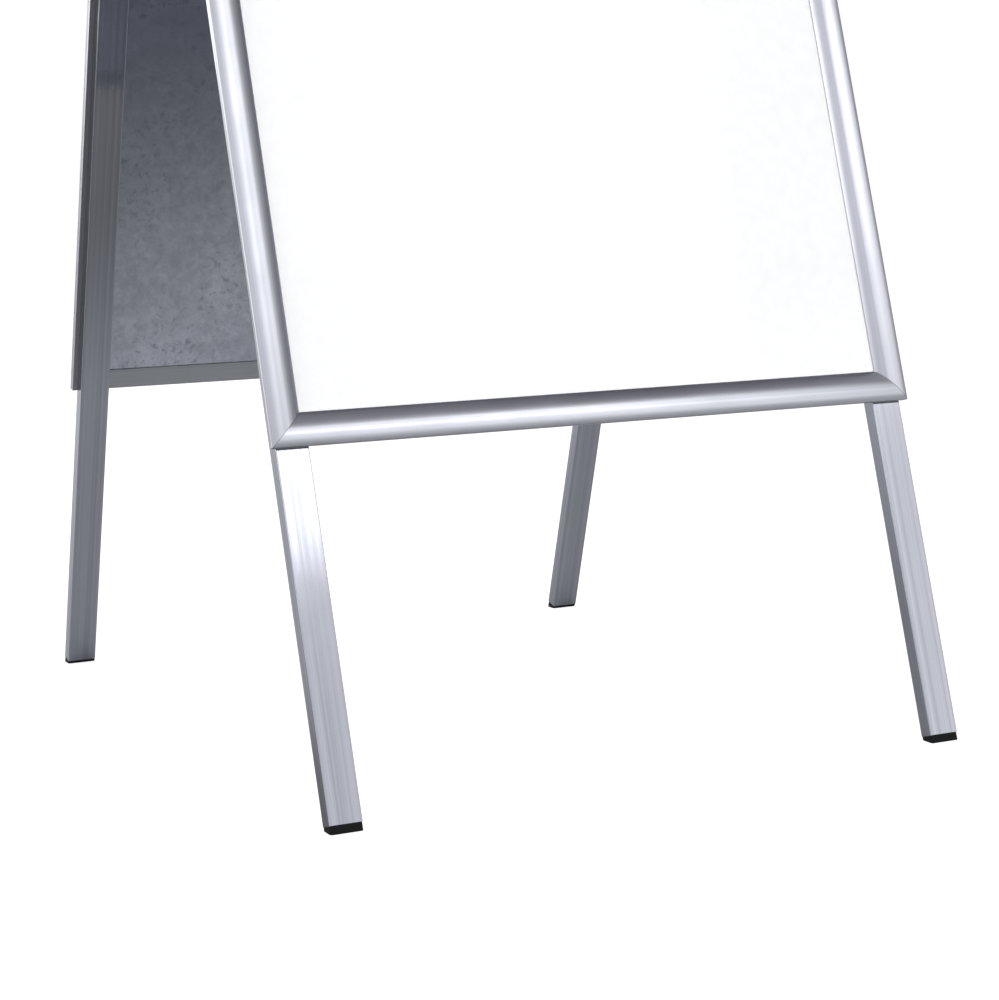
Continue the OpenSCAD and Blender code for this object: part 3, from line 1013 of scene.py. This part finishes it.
def finish_piece(
    name: str, mesh: Mesh, finish: Finish, body: str, nodes: Sequence[str], flat: bool = True
) -> Object:
    """Dresses a finished mesh and hangs it on its body.

    Args:
        name: The piece's name.
        mesh: Its mesh, in the board's own coordinates.
        finish: Its finish.
        body: The body it rides on.
        nodes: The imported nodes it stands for.
        flat: Whether its broad faces are flat, and are shaded so up to their rounded edges.

    Returns:
        The piece.
    """
    mesh.name = name
    mesh.materials.clear()
    mesh.materials.append(FINISHES.get(finish))
    smooth(mesh)
    piece = new_object(name, mesh)
    if flat:
        flats = piece.modifiers.new("flats", "WEIGHTED_NORMAL")
        flats.keep_sharp = True
        mesh = plain(piece)
        mesh.name = name
    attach(piece, body)
    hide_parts(*nodes)
    LOG.info("piece %s on %s: %d faces", name, body, len(mesh.polygons))
    return piece


# ---- geometry node trees ----


class Repeats:
    """The geometry node trees that draw mitred bars and set out rows of like parts."""

    def __init__(self) -> None:
        """Builds the trees."""
        self.bar = self._mitred_bar()
        self.grid = self._part_grid()

    @staticmethod
    def _mitred_bar() -> NodeTree:
        """A section drawn along x and cut to a mitre at both ends.

        Returns:
            The tree.
        """
        tree = new_group(
            "mitred_bar",
            "GeometryNodeTree",
            [
                ("Section", "NodeSocketObject", None),
                ("Length", "NodeSocketFloat", 1.0),
                ("Mitre Gap", "NodeSocketFloat", 0.0),
                ("Material", "NodeSocketMaterial", None),
            ],
            [("Geometry", "NodeSocketGeometry")],
        )
        given = tree.node("NodeGroupInput").outputs
        section = tree.node("GeometryNodeObjectInfo", {"Object": given["Section"]}).outputs["Geometry"]
        drawn = tree.node(
            "GeometryNodeExtrudeMesh",
            {
                "Mesh": section,
                "Offset": (1.0, 0.0, 0.0),
                "Offset Scale": given["Length"],
                "Individual": False,
            },
            mode="FACES",
        ).outputs["Mesh"]
        start = tree.node("GeometryNodeFlipFaces", {"Mesh": section}).outputs["Mesh"]
        both = tree.node("GeometryNodeJoinGeometry")
        tree.link(drawn, both.inputs[0])
        tree.link(start, both.inputs[0])
        closed = tree.node(
            "GeometryNodeMergeByDistance", {"Geometry": both.outputs[0], "Distance": MERGE}
        ).outputs[0]
        position = tree.node("GeometryNodeInputPosition").outputs[0]
        at = tree.node("ShaderNodeSeparateXYZ", {0: position}).outputs
        inset = tree.maths("ADD", at["Y"], given["Mitre Gap"])
        rest = tree.maths("SUBTRACT", given["Length"], inset)
        half = tree.maths("MULTIPLY", given["Length"], 0.5)
        is_far = tree.maths("GREATER_THAN", at["X"], half)
        across = tree.maths("MULTIPLY", is_far, tree.maths("SUBTRACT", rest, inset))
        moved = {0: tree.maths("ADD", inset, across), 1: at["Y"], 2: at["Z"]}
        to = tree.node("ShaderNodeCombineXYZ", moved).outputs[0]
        cut = tree.node("GeometryNodeSetPosition", {"Geometry": closed, "Position": to}).outputs[0]
        whole = tree.node("GeometryNodeRealizeInstances", {0: cut}).outputs[0]
        dressed = tree.node("GeometryNodeSetMaterial", {"Geometry": whole, "Material": given["Material"]})
        tree.node("NodeGroupOutput", {0: dressed.outputs[0]})
        return tree.tree

    @staticmethod
    def _part_grid() -> NodeTree:
        """Copies of a part in columns and rows, centred on the origin.

        Returns:
            The tree.
        """
        tree = new_group(
            "part_grid",
            "GeometryNodeTree",
            [
                ("Part", "NodeSocketObject", None),
                ("Columns", "NodeSocketInt", 2),
                ("Rows", "NodeSocketInt", 2),
                ("Width", "NodeSocketFloat", 1.0),
                ("Height", "NodeSocketFloat", 1.0),
                ("Turn", "NodeSocketFloat", 0.0),
                ("Material", "NodeSocketMaterial", None),
            ],
            [("Geometry", "NodeSocketGeometry")],
        )
        given = tree.node("NodeGroupInput").outputs
        grid = tree.node(
            "GeometryNodeMeshGrid",
            {
                "Size X": given["Width"],
                "Size Y": given["Height"],
                "Vertices X": given["Columns"],
                "Vertices Y": given["Rows"],
            },
        ).outputs["Mesh"]
        part = tree.node("GeometryNodeObjectInfo", {"Object": given["Part"]}).outputs["Geometry"]
        turn = tree.node("ShaderNodeCombineXYZ", {2: given["Turn"]}).outputs[0]
        placed = tree.node(
            "GeometryNodeInstanceOnPoints", {"Points": grid, "Instance": part, "Rotation": turn}
        ).outputs[0]
        whole = tree.node("GeometryNodeRealizeInstances", {0: placed}).outputs[0]
        dressed = tree.node("GeometryNodeSetMaterial", {"Geometry": whole, "Material": given["Material"]})
        tree.node("NodeGroupOutput", {0: dressed.outputs[0]})
        return tree.tree

    @staticmethod
    def _run(group: NodeTree, values: dict) -> Mesh:
        """Runs a tree on an empty mesh with its inputs set, and gives the mesh it makes.

        Args:
            group: The tree.
            values: Its inputs, by name.

        Returns:
            The mesh.
        """
        host = new_object("tree_host", bpy.data.meshes.new("tree_host"))
        modifier = host.modifiers.new("tree", "NODES")
        modifier.node_group = group
        for item in group.interface.items_tree:
            if item.in_out == "INPUT" and item.name in values:
                modifier[item.identifier] = values[item.name]
        mesh = plain(host)
        bpy.data.objects.remove(host)
        return mesh

    def draw_bar(self, loop: Sequence[Point], length: float, gap: float) -> Mesh:
        """Draws a mitred bar of a section in rail coordinates.

        Args:
            loop: The section's outline in (y, z), anticlockwise.
            length: The bar's length along its outer edge.
            gap: How far its ends stay back from the mitre planes.

        Returns:
            The bar's mesh in rail coordinates.
        """
        bm = bmesh.new()
        bm.faces.new([bm.verts.new((0, y, z)) for y, z in loop])
        section = new_object("section", mesh_from(bm, "section"))
        mesh = self._run(self.bar, {"Section": section, "Length": length, "Mitre Gap": gap})
        bpy.data.objects.remove(section)
        return mesh

    def set_out(
        self, part: Mesh, columns: int, rows: int, width: float, height: float, turn: float = 0.0
    ) -> Mesh:
        """Copies a part in columns and rows.

        Args:
            part: The part's mesh, about its own origin.
            columns: How many stand side by side.
            rows: How many stand above each other.
            width: Distance from the first column to the last.
            height: Distance from the first row to the last.
            turn: The angle each is turned about z, in radians.

        Returns:
            The mesh of them all, centred on the origin in the xy plane.
        """
        holder = new_object("part", part)
        values = {"Part": holder, "Columns": columns, "Rows": rows}
        values.update({"Width": width, "Height": height, "Turn": turn})
        mesh = self._run(self.grid, values)
        bpy.data.objects.remove(holder)
        return mesh


REPEATS = Repeats()


# ---- sub-assemblies ----


@dataclass(frozen=True)
class SnapCover:
    """The sprung cover of one side of a poster frame: a thin arch with a hook and a toe."""

    panel: Panel
    side: Side
    shell: float = 0.0014
    crown_h: float = 0.0106
    crown_in: float = 0.0138
    outer_r: float = 0.025979
    inner_r: float = 0.019811
    bead: Point = (0.00125, 0.0047)
    hook_in_r: float = 0.00133
    hook_r: float = 0.0023
    hook_top: float = 120.0
    hook_end: float = -75.0
    lip_z: float = 0.0030
    toe: tuple[float, float, float] = (0.0055, 0.0066, 0.0032)
    toe_end_gap: float = 0.060
    notch: float = 0.00405
    mitre_gap: float = 0.0002
    rounding: float = 0.00022
    toe_edge: float = 0.0001

    def section(self) -> list[Point]:
        """Outline of the shell and its hook, anticlockwise from the inner lip.

        Returns:
            The points.
        """
        top_centre = (self.crown_in, self.crown_h - self.outer_r)
        inner_centre = (self.crown_in, self.crown_h - self.inner_r)
        meet = math.degrees(math.atan2(self.bead[1] - top_centre[1], self.bead[0] - top_centre[0]))
        under_r = self.outer_r - self.shell
        lip_out = math.degrees(math.asin((self.lip_z - inner_centre[1]) / self.inner_r))
        lip_in = math.degrees(math.asin((self.lip_z - inner_centre[1]) / (self.inner_r - self.shell)))
        reach = self.outer_r - self.hook_r
        spread = (under_r**2 - reach**2 - self.hook_r**2) / (2 * reach * self.hook_r)
        join = meet - math.degrees(math.acos(spread))
        corner = arc(self.bead, self.hook_r, join, join, 1)[0]
        under = math.degrees(math.atan2(corner[1] - top_centre[1], corner[0] - top_centre[0]))
        return (
            arc(inner_centre, self.inner_r, lip_out, 90, 22)[:-1]
            + arc(top_centre, self.outer_r, 90, meet, 24)
            + arc(self.bead, self.hook_in_r, self.hook_top, self.hook_end, 18)
            + arc(self.bead, self.hook_r, self.hook_end, join, 14)[:-1]
            + arc(top_centre, under_r, under, 90, 20)[:-1]
            + arc(inner_centre, self.inner_r - self.shell, 90, lip_in, 20)
        )

    def build(self) -> Object:
        """Makes the cover.

        Returns:
            The piece.
        """
        length = SIZES.side_length(self.side)
        shell = REPEATS.draw_bar(self.section(), length, self.mitre_gap)
        shell = self._notched(shell, length)
        shell = bevelled(shell, self.rounding, 2, 28)
        start, end, low = self.toe
        loop = [(start, low), (end, low), (end, self.toe_top(end)), (start, self.toe_top(start))]
        toe = bevelled(prism(loop, self.toe_end_gap, length - self.toe_end_gap), self.toe_edge, 1)
        whole = joined([shell, toe])
        whole.transform(SIZES.side_matrix(self.panel, self.side))
        node = f"{self.panel.value}_{self.side.named_on(self.panel)}_cover"
        grain = Grain.UP if self.side.upright else Grain.ACROSS
        finish = Finishes.cover(self.panel, grain)
        return finish_piece(f"{node}_shell", whole, finish, node, [node], flat=False)

    def toe_top(self, inwards: float) -> float:
        """Height of the middle of the shell above a point of the rail."""
        radius = self.outer_r - self.shell / 2
        return self.crown_h - self.outer_r + math.sqrt(radius**2 - (self.crown_in - inwards) ** 2)

    def _notched(self, mesh: Mesh, length: float) -> Mesh:
        """Cuts the hook's lower part away at both ends, where the neighbour's hook swings.

        Args:
            mesh: The shell in rail coordinates.
            length: The shell's length.

        Returns:
            The notched shell.
        """
        piece = new_object("notch_work", mesh)
        spare = 0.01
        cutters = []
        for start, end in ((-spare, self.notch), (length - self.notch, length + spare)):
            low, high = -spare, self.bead[1]
            box = [(-spare, low), (self.notch, low), (self.notch, high), (-spare, high)]
            cutter = new_object("cutter", prism(box, start, end))
            cutters.append(cutter)
            cut = piece.modifiers.new("notch", "BOOLEAN")
            cut.operation = "DIFFERENCE"
            cut.solver = "EXACT"
            cut.object = cutter
        made = plain(piece)
        for used in (*cutters, piece):
            bpy.data.objects.remove(used)
        return made


@dataclass(frozen=True)
class BaseRail:
    """The base profile of one side of a poster frame."""

    panel: Panel
    side: Side
    width: float = 0.0211
    wall: tuple[float, float] = (0.0004, 0.0014)
    rib: tuple[float, float, float] = (0.0072, 0.0082, 0.0022)
    stop: tuple[float, float, float] = (0.0168, 0.0178, 0.0027)
    bead: Point = (0.00125, 0.0047)
    bead_r: float = 0.00125
    mitre_seam: float = 0.00005
    rounding: float = 0.00018

    def section(self) -> list[Point]:
        """Outline of the rail, anticlockwise from its outer bottom edge.

        Returns:
            The points.
        """
        floor = SIZES.floor_t
        outer, inner = self.wall
        ends = [
            -math.degrees(math.asin(math.sqrt(1 - ((y - self.bead[0]) / self.bead_r) ** 2)))
            for y in (inner, outer)
        ]
        bead = arc(self.bead, self.bead_r, ends[0], 180 - ends[1], 28)
        ribs = []
        for start, end, top in (self.stop, self.rib):
            ribs += [(end, floor), (end, top), (start, top), (start, floor)]
        return [(outer, 0), (self.width, 0), (self.width, floor), *ribs, (inner, floor), *bead]

    def build(self) -> Object:
        """Makes the rail.

        Returns:
            The piece.
        """
        bar = REPEATS.draw_bar(self.section(), SIZES.side_length(self.side), self.mitre_seam)
        bar = bevelled(bar, self.rounding, 2, 40)
        bar.transform(SIZES.side_matrix(self.panel, self.side))
        node = f"{self.panel.value}_{self.side.named_on(self.panel)}_rail"
        grain = Grain.UP if self.side.upright else Grain.ACROSS
        finish = Finishes.rail(self.panel, grain)
        return finish_piece(f"{node}_profile", bar, finish, f"{self.panel.value}_panel", [node])


@dataclass(frozen=True)
class Leg:
    """A leg: its tube, the foot under it and the plug in its top."""

    panel: Panel
    hand: Hand
    wall: float = 0.0015
    corner: float = 0.0010
    drop: float = 0.3145
    chamfer: float = 0.00035
    foot_edge: float = 0.0011
    plug_edge: float = 0.0008

    @property
    def name(self) -> str:
        """The leg's name on the board."""
        return f"{self.panel.value}_{self.hand.named_on(self.panel)}"

    def build(self) -> None:
        """Makes the tube, the foot and the plug."""
        body = f"{self.panel.value}_panel"
        finish_piece(
            f"{self.name}_leg_tube", self._tube(), Finishes.leg(self.panel), body, [f"{self.name}_leg"]
        )
        for part, width in (("foot", self.foot_edge), ("plug", self.plug_edge)):
            node = f"{self.name}_{part}"
            finish_piece(f"{node}_cap", refined(node, width, 3), Finishes.PLASTIC, body, [node])

    def _tube(self) -> Mesh:
        """The tube, with its cut ends lightly chamfered.

        Returns:
            Its mesh, in the board's own coordinates.
        """
        outer = round_rect(SIZES.leg_w, SIZES.leg_d, self.corner, 6)
        gap = 2 * self.wall
        inner = round_rect(SIZES.leg_w - gap, SIZES.leg_d - gap, self.corner / 2, 6)
        cut = self.chamfer
        small = round_rect(SIZES.leg_w - 2 * cut, SIZES.leg_d - 2 * cut, self.corner - cut, 6)
        middle = self.hand.value * (SIZES.frame_w / 2 - SIZES.leg_in - SIZES.leg_w / 2)
        low, high = -self.drop, SIZES.frame_h
        loops = (outer, outer, small, inner, inner, small)
        heights = (low + cut, high - cut, high, high, low, low)
        rings = [
            [Vector((middle + x, at, -SIZES.leg_d / 2 - z)) for x, z in loop]
            for loop, at in zip(loops, heights)
        ]
        mesh = loft(rings, closed=False)
        bm = bmesh.new()
        bm.from_mesh(mesh)
        bmesh.ops.recalc_face_normals(bm, faces=bm.faces)
        mesh = mesh_from(bm, "tube")
        edge = mesh.attributes.new("edge", "FLOAT", "FACE")
        narrow = 2 * cut
        marks = []
        for face in mesh.polygons:
            ends = [mesh.vertices[v].co.y for v in face.vertices]
            marks.append(float(0 < max(ends) - min(ends) < narrow))
        edge.data.foreach_set("value", marks)
        mesh.transform(SIZES.panel_matrix(self.panel))
        return mesh


@dataclass(frozen=True)
class SheetStack:
    """The back sheet, the poster and the clear protector of a panel."""

    panel: Panel
    steel: tuple[float, float, float] = (0.0179, 0.00132, 0.00056)
    poster: tuple[float, float, float] = (0.0220, 0.00191, 0.00026)
    clear: tuple[float, float, float] = (0.0205, 0.00223, 0.00045)
    corner: float = 0.003

    def build(self) -> None:
        """Makes the three sheets."""
        name, body = self.panel.value, f"{self.panel.value}_panel"
        for node, sizes, finish in (
            ("back_sheet", self.steel, Finishes.steel_sheet(self.panel)),
            ("poster", self.poster, Finishes.paper(self.panel)),
            ("protector", self.clear, Finishes.clear(self.panel)),
        ):
            mesh = self._sheet(*sizes)
            piece = finish_piece(f"{name}_{node}_sheet", mesh, finish, body, [f"{name}_{node}"])
            piece.visible_glossy = node == "back_sheet"

    def _sheet(self, inset: float, height: float, thick: float) -> Mesh:
        """A flat sheet with round corners and softened edges.

        Args:
            inset: How far its edge lies in from the frame's outer edge.
            height: Where its underside lies above the legs' front face.
            thick: Its thickness.

        Returns:
            Its mesh, in the board's own coordinates.
        """
        soft = thick / 4
        rings = []
        for shrink, at in ((soft, 0), (0, soft), (0, thick - soft), (soft, thick)):
            loop = round_rect(
                SIZES.frame_w - 2 * (inset + shrink), SIZES.frame_h - 2 * (inset + shrink), self.corner, 6
            )
            rings.append([Vector((x, SIZES.frame_h / 2 + y, height + at)) for x, y in loop])
        mesh = loft(rings)
        mesh.transform(SIZES.panel_matrix(self.panel))
        return mesh


@dataclass(frozen=True)
class Rivet:
    """A blind rivet with a domed head above z 0 and its set tail under the grip."""

    grip: float
    head_r: float = 0.0039
    head_h: float = 0.0011
    rim: float = 0.00025
    shank_r: float = 0.002
    tail_r: float = 0.003
    tail_h: float = 0.0012
    hole_r: float = 0.0009
    dip: float = 0.00035
    steps: int = 24

    def mesh(self) -> Mesh:
        """Turns the rivet.

        Returns:
            Its mesh, about z.
        """
        turns = [math.radians(a) for a in (0, 18, 36, 54, 70, 82, 90)]
        rise = self.head_h - self.rim
        dome = [(self.head_r * math.sin(a), self.rim + rise * math.cos(a)) for a in turns]
        sunk = self.head_h - self.dip
        head = [(0.0, sunk), (self.hole_r * 0.8, sunk), (self.hole_r, self.head_h)]
        head += [p for p in dome if p[0] > self.hole_r] + [(self.head_r, 0.0)]
        end = -self.grip - self.tail_h
        tail = [
            (self.shank_r, 0.0),
            (self.shank_r, -self.grip),
            (self.tail_r, -self.grip),
            (self.tail_r, -self.grip - self.tail_h * 0.7),
            (self.tail_r * 0.8, end),
            (0.0, end),
        ]
        return lathe(head + tail, self.steps)


@dataclass(frozen=True)
class PanelHardware:
    """The rivets, springs and corner keys of a panel."""

    panel: Panel
    rivet_in: float = 0.0125
    rivet_end: float = 0.074
    rivet_rows: int = 5
    grip: float = 0.0028
    spring_in: float = 0.01115
    spring_half: float = 0.0055
    spring_rise: float = 0.0033
    spring_t: float = 0.0005
    spring_len: float = 0.046
    spring_up: float = 0.184250
    spring_edge: float = 0.00012
    key_edge: float = 0.00025

    def build(self) -> None:
        """Makes them all."""
        body = f"{self.panel.value}_panel"
        place = SIZES.panel_matrix(self.panel)
        lift = Matrix.Translation((0, SIZES.frame_h / 2, SIZES.floor_t))
        rows = REPEATS.set_out(
            Rivet(self.grip).mesh(),
            2,
            self.rivet_rows,
            SIZES.frame_w - 2 * self.rivet_in,
            SIZES.frame_h - 2 * self.rivet_end,
        )
        rows.transform(place @ lift)
        name = f"{self.panel.value}_leg_rivets"
        finish_piece(f"{name}_row", rows, Finishes.RIVET, body, [name])
        springs = joined([self._springs_up(), self._springs_across()])
        springs.transform(place @ lift)
        name = f"{self.panel.value}_springs"
        finish_piece(f"{name}_leaf", springs, Finishes.SPRING, body, [name])
        name = f"{self.panel.value}_corner_keys"
        finish_piece(f"{name}_plate", refined(name, self.key_edge), Finishes.KEY, body, [name])

    def _spring(self) -> Mesh:
        """One arched leaf, lying along x, on the rail's floor.

        Returns:
            The mesh.
        """
        radius = (self.spring_half**2 + self.spring_rise**2) / (2 * self.spring_rise)
        centre = (0.0, self.spring_rise - radius)
        half = math.degrees(math.asin(self.spring_half / radius))
        flip = 180 - half if self.spring_rise > radius else half
        inner_r = radius - self.spring_t
        inner_half = math.degrees(math.acos(min(1.0, -centre[1] / inner_r)))
        outer = arc(centre, radius, 90 - flip, 90 + flip, 20)
        under = arc(centre, inner_r, 90 + inner_half, 90 - inner_half, 20)
        bar = prism(outer + under, -self.spring_len / 2, self.spring_len / 2)
        return bevelled(bar, self.spring_edge, 1)

    def _springs_up(self) -> Mesh:
        """The springs of the two upright sides."""
        apart = SIZES.frame_h - 2 * (self.rivet_end + self.spring_up / 2)
        return REPEATS.set_out(
            self._spring(), 2, 2, SIZES.frame_w - 2 * self.spring_in, apart, math.pi / 2
        )

    def _springs_across(self) -> Mesh:
        """The springs of the top and bottom sides."""
        return REPEATS.set_out(
            self._spring(), 2, 2, SIZES.frame_w / 2, SIZES.frame_h - 2 * self.spring_in
        )


@dataclass(frozen=True)
class Hinge:
    """A hinge between the panels: two leaves and the pin; its rivets are made with each panel."""

    side: str
    edge: float = 0.00035
    pin_edge: float = 0.0005

    def build(self) -> None:
        """Makes the leaves and the pin."""
        for panel in Panel:
            node = f"{self.side}_hinge_{panel.value}_leaf"
            body = f"{panel.value}_panel"
            finish_piece(f"{node}_plate", refined(node, self.edge), Finishes.ZINC, body, [node])
        node = f"{self.side}_hinge_pin"
        finish_piece(f"{node}_bolt", refined(node, self.pin_edge, 3), Finishes.ZINC, "front_panel", [node])


@dataclass(frozen=True)
class HingeRivets:
    """The rivets that hold a panel's two hinge leaves to its legs."""

    panel: Panel
    leaf_t: float = 0.002
    low: float = -0.106
    apart: float = 0.028
    grip: float = 0.0035

    def build(self) -> Object:
        """Makes the four rivets.

        Returns:
            The piece that holds them all.
        """
        side_x = SIZES.frame_w / 2 - SIZES.leg_in - SIZES.leg_w
        rows = []
        for hand in Hand:
            pair = REPEATS.set_out(Rivet(self.grip).mesh(), 1, 2, 0.0, self.apart)
            turn = Matrix.Rotation(-hand.value * math.pi / 2, 4, "Y")
            stand = Matrix.Rotation(math.pi / 2, 4, "X")
            out = hand.value * (side_x - self.leaf_t)
            at = Matrix.Translation((out, SIZES.leg_d / 2 - SIZES.axis_back, self.low + self.apart / 2))
            pair.transform(SIZES.hinge_matrix(self.panel) @ at @ stand @ turn)
            rows.append(pair)
        name = f"{self.panel.value}_hinge_rivets"
        body = f"{self.panel.value}_panel"
        return finish_piece(f"{name}_row", joined(rows), Finishes.RIVET, body, [name])


@dataclass(frozen=True)
class Stay:
    """A folding stay: two links and the halves of the rivet that joins them."""

    side: str
    link_edge: float = 0.0004
    rivet_edge: float = 0.0005

    def build(self) -> None:
        """Makes the links and the rivet's halves."""
        for panel in Panel:
            body = f"{self.side}_stay_{panel.value}"
            for part, edge in (("link", self.link_edge), ("rivet", self.rivet_edge)):
                node = f"{body}_{part}"
                finish_piece(f"{node}_bar", refined(node, edge, 2), Finishes.ZINC, body, [node])


@dataclass(frozen=True)
class FramePanel:
    """One leaning panel: the poster frame, its legs and its hardware."""

    panel: Panel
    pin_edge: float = 0.0004

    def build(self) -> None:
        """Makes every piece of the panel."""
        for side in Side:
            SnapCover(self.panel, side).build()
            BaseRail(self.panel, side).build()
        for hand in Hand:
            Leg(self.panel, hand).build()
        SheetStack(self.panel).build()
        PanelHardware(self.panel).build()
        HingeRivets(self.panel).build()
        node = f"{self.panel.value}_stay_pivots"
        body = f"{self.panel.value}_panel"
        finish_piece(f"{node}_pins", refined(node, self.pin_edge), Finishes.ZINC, body, [node])


# ---- studio ----


@dataclass(frozen=True)
class Softbox:
    """A soft rectangular light that looks at the board."""

    name: str
    azimuth: float
    elevation: float
    distance: float
    width: float
    height: float
    radiance: float
    colour: Colour = (1.0, 1.0, 1.0)

    def build(self) -> Object:
        """Makes the light: azimuth 0 is in front of the board and 90 on its right.

        Returns:
            The light.
        """
        data = bpy.data.lights.new(self.name, "AREA")
        data.shape = "RECTANGLE"
        data.size, data.size_y = self.width, self.height
        data.energy = self.radiance * math.pi * self.width * self.height
        data.color = self.colour
        made = bpy.data.objects.new(self.name, data)
        bpy.context.scene.collection.objects.link(made)
        a, e = math.radians(self.azimuth), math.radians(self.elevation)
        out = Vector((math.sin(a) * math.cos(e), -math.cos(a) * math.cos(e), math.sin(e)))
        made.location = Vector((0.0, 0.0, 0.5)) + out * self.distance
        made.rotation_euler = out.to_track_quat("Z", "Y").to_euler()
        made.visible_camera = False
        return made


@dataclass(frozen=True)
class Studio:
    """The camera, the pale floor and the soft light."""

    eye: tuple[float, float, float] = (-1.01799, -2.16352, 0.55802)
    turn: tuple[float, float, float] = (81.517, 1.098, -26.090)
    lens: float = 86.88
    floor_size: float = 60.0
    floor_seen: float = 0.26
    floor_glow: float = 0.82
    floor_near: Colour = (0.24, 0.245, 0.25)
    floor_far: Colour = (0.46, 0.47, 0.485)
    floor_change: Point = (-0.50, -0.12)
    floor_slant: float = 0.6
    surround_side: Point = (1.12, 0.34)
    surround_high: Point = (1.0, 0.34)
    surround_blue: float = 1.06
    surround_soft: float = 0.84

    def build_camera(self) -> None:
        """Makes the camera."""
        data = bpy.data.cameras.new("camera")
        data.lens = self.lens
        data.sensor_width = 36.0
        camera = bpy.data.objects.new("camera", data)
        bpy.context.scene.collection.objects.link(camera)
        camera.location = self.eye
        camera.rotation_euler = Euler([math.radians(a) for a in self.turn], "XYZ")
        bpy.context.scene.camera = camera

    def build_floor(self) -> None:
        """Makes the floor."""
        half = self.floor_size / 2
        bm = bmesh.new()
        corners = ((-half, -half), (half, -half), (half, half), (-half, half))
        bm.faces.new([bm.verts.new((x, y, 0)) for x, y in corners])
        mesh = mesh_from(bm, "floor")
        material = bpy.data.materials.new("floor_white")
        material.use_nodes = True
        tree = Tree(material.node_tree)
        material.node_tree.nodes.remove(material.node_tree.nodes["Principled BSDF"])
        out = material.node_tree.nodes["Material Output"]
        seen = tree.node("ShaderNodeBsdfDiffuse", {"Color": (*[self.floor_seen] * 3, 1)}).outputs[0]
        shine = {"Color": (1, 1, 1, 1), "Strength": self.floor_glow}
        glow = tree.node("ShaderNodeEmission", shine).outputs[0]
        bright = tree.node("ShaderNodeAddShader", {0: seen, 1: glow}).outputs[0]
        place = tree.node("ShaderNodeTexCoord").outputs["Object"]
        spot = tree.node("ShaderNodeSeparateXYZ", {0: place}).outputs
        ahead = tree.maths("ADD", spot["Y"], tree.maths("MULTIPLY", spot["X"], self.floor_slant))
        shaded = tree.remap(ahead, *self.floor_change, 0.0, 1.0)
        pale = tree.blend(shaded, self.floor_near, self.floor_far)
        plain_floor = tree.node("ShaderNodeBsdfDiffuse", {"Color": pale}).outputs[0]
        ray = tree.node("ShaderNodeLightPath").outputs["Is Camera Ray"]
        both = tree.node("ShaderNodeMixShader", {0: ray, 1: plain_floor, 2: bright}).outputs[0]
        tree.link(both, out.inputs["Surface"])
        mesh.materials.append(material)
        new_object("floor", mesh)

    def build_light(self) -> None:
        """Makes the softboxes and the dim surround."""
        boxes = (
            Softbox("key_box", 16, 30.0, 4.0, 2.5, 1.7, 2.8),
            Softbox("key_side", 45.5, 30.0, 4.0, 1.7, 1.7, 1.05),
            Softbox("key_skirt", 14, 8, 4.2, 2.2, 1.5, 0.66),
            Softbox("right_skirt", 46, 10, 4.2, 2.4, 1.7, 1.10),
            Softbox("left_box", -107, 24, 3.6, 6.0, 3.0, 2.7, (1.0, 0.99, 0.985)),
            Softbox("rear_box", -172, 20, 4.0, 4.6, 2.4, 1.7),
        )
        for box in boxes:
            box.build()
            LOG.info("light %s", box.name)
        world = bpy.data.worlds.new("surround")
        bpy.context.scene.world = world
        world.use_nodes = True
        tree = Tree(world.node_tree)
        shown = world.node_tree.nodes["Background"]
        ray = tree.node("ShaderNodeTexCoord").outputs["Generated"]
        way = tree.node("ShaderNodeSeparateXYZ", {0: ray}).outputs
        side = tree.remap(way["X"], -0.3, 1.0, *self.surround_side)
        high = tree.remap(way["Z"], 0.45, 0.90, *self.surround_high)
        level = tree.maths("MULTIPLY", side, high)
        blue = tree.maths("MULTIPLY", level, self.surround_blue)
        grey = tree.node("ShaderNodeCombineColor", {0: level, 1: level, 2: blue})
        path = tree.node("ShaderNodeLightPath").outputs
        lit = tree.blend(path["Is Diffuse Ray"], grey.outputs[0], (self.surround_soft,) * 3)
        white = tree.blend(path["Is Camera Ray"], lit, (1.0, 1.0, 1.0))
        tree.link(white, shown.inputs["Color"])

    @staticmethod
    def set_view() -> None:
        """Shows the light as it is, so that the surround stays white."""
        settings = bpy.context.scene.view_settings
        settings.view_transform = "Standard"
        settings.look = "None"


def main() -> None:
    """Builds the studio, then the board from its sub-assemblies."""
    logging.basicConfig(level=logging.INFO, format="%(message)s")
    studio = Studio()
    studio.build_camera()
    studio.build_floor()
    studio.build_light()
    studio.set_view()
    for panel in Panel:
        FramePanel(panel).build()
    for side in ("left", "right"):
        Hinge(side).build()
        Stay(side).build()


if __name__ == "__main__":
    main()
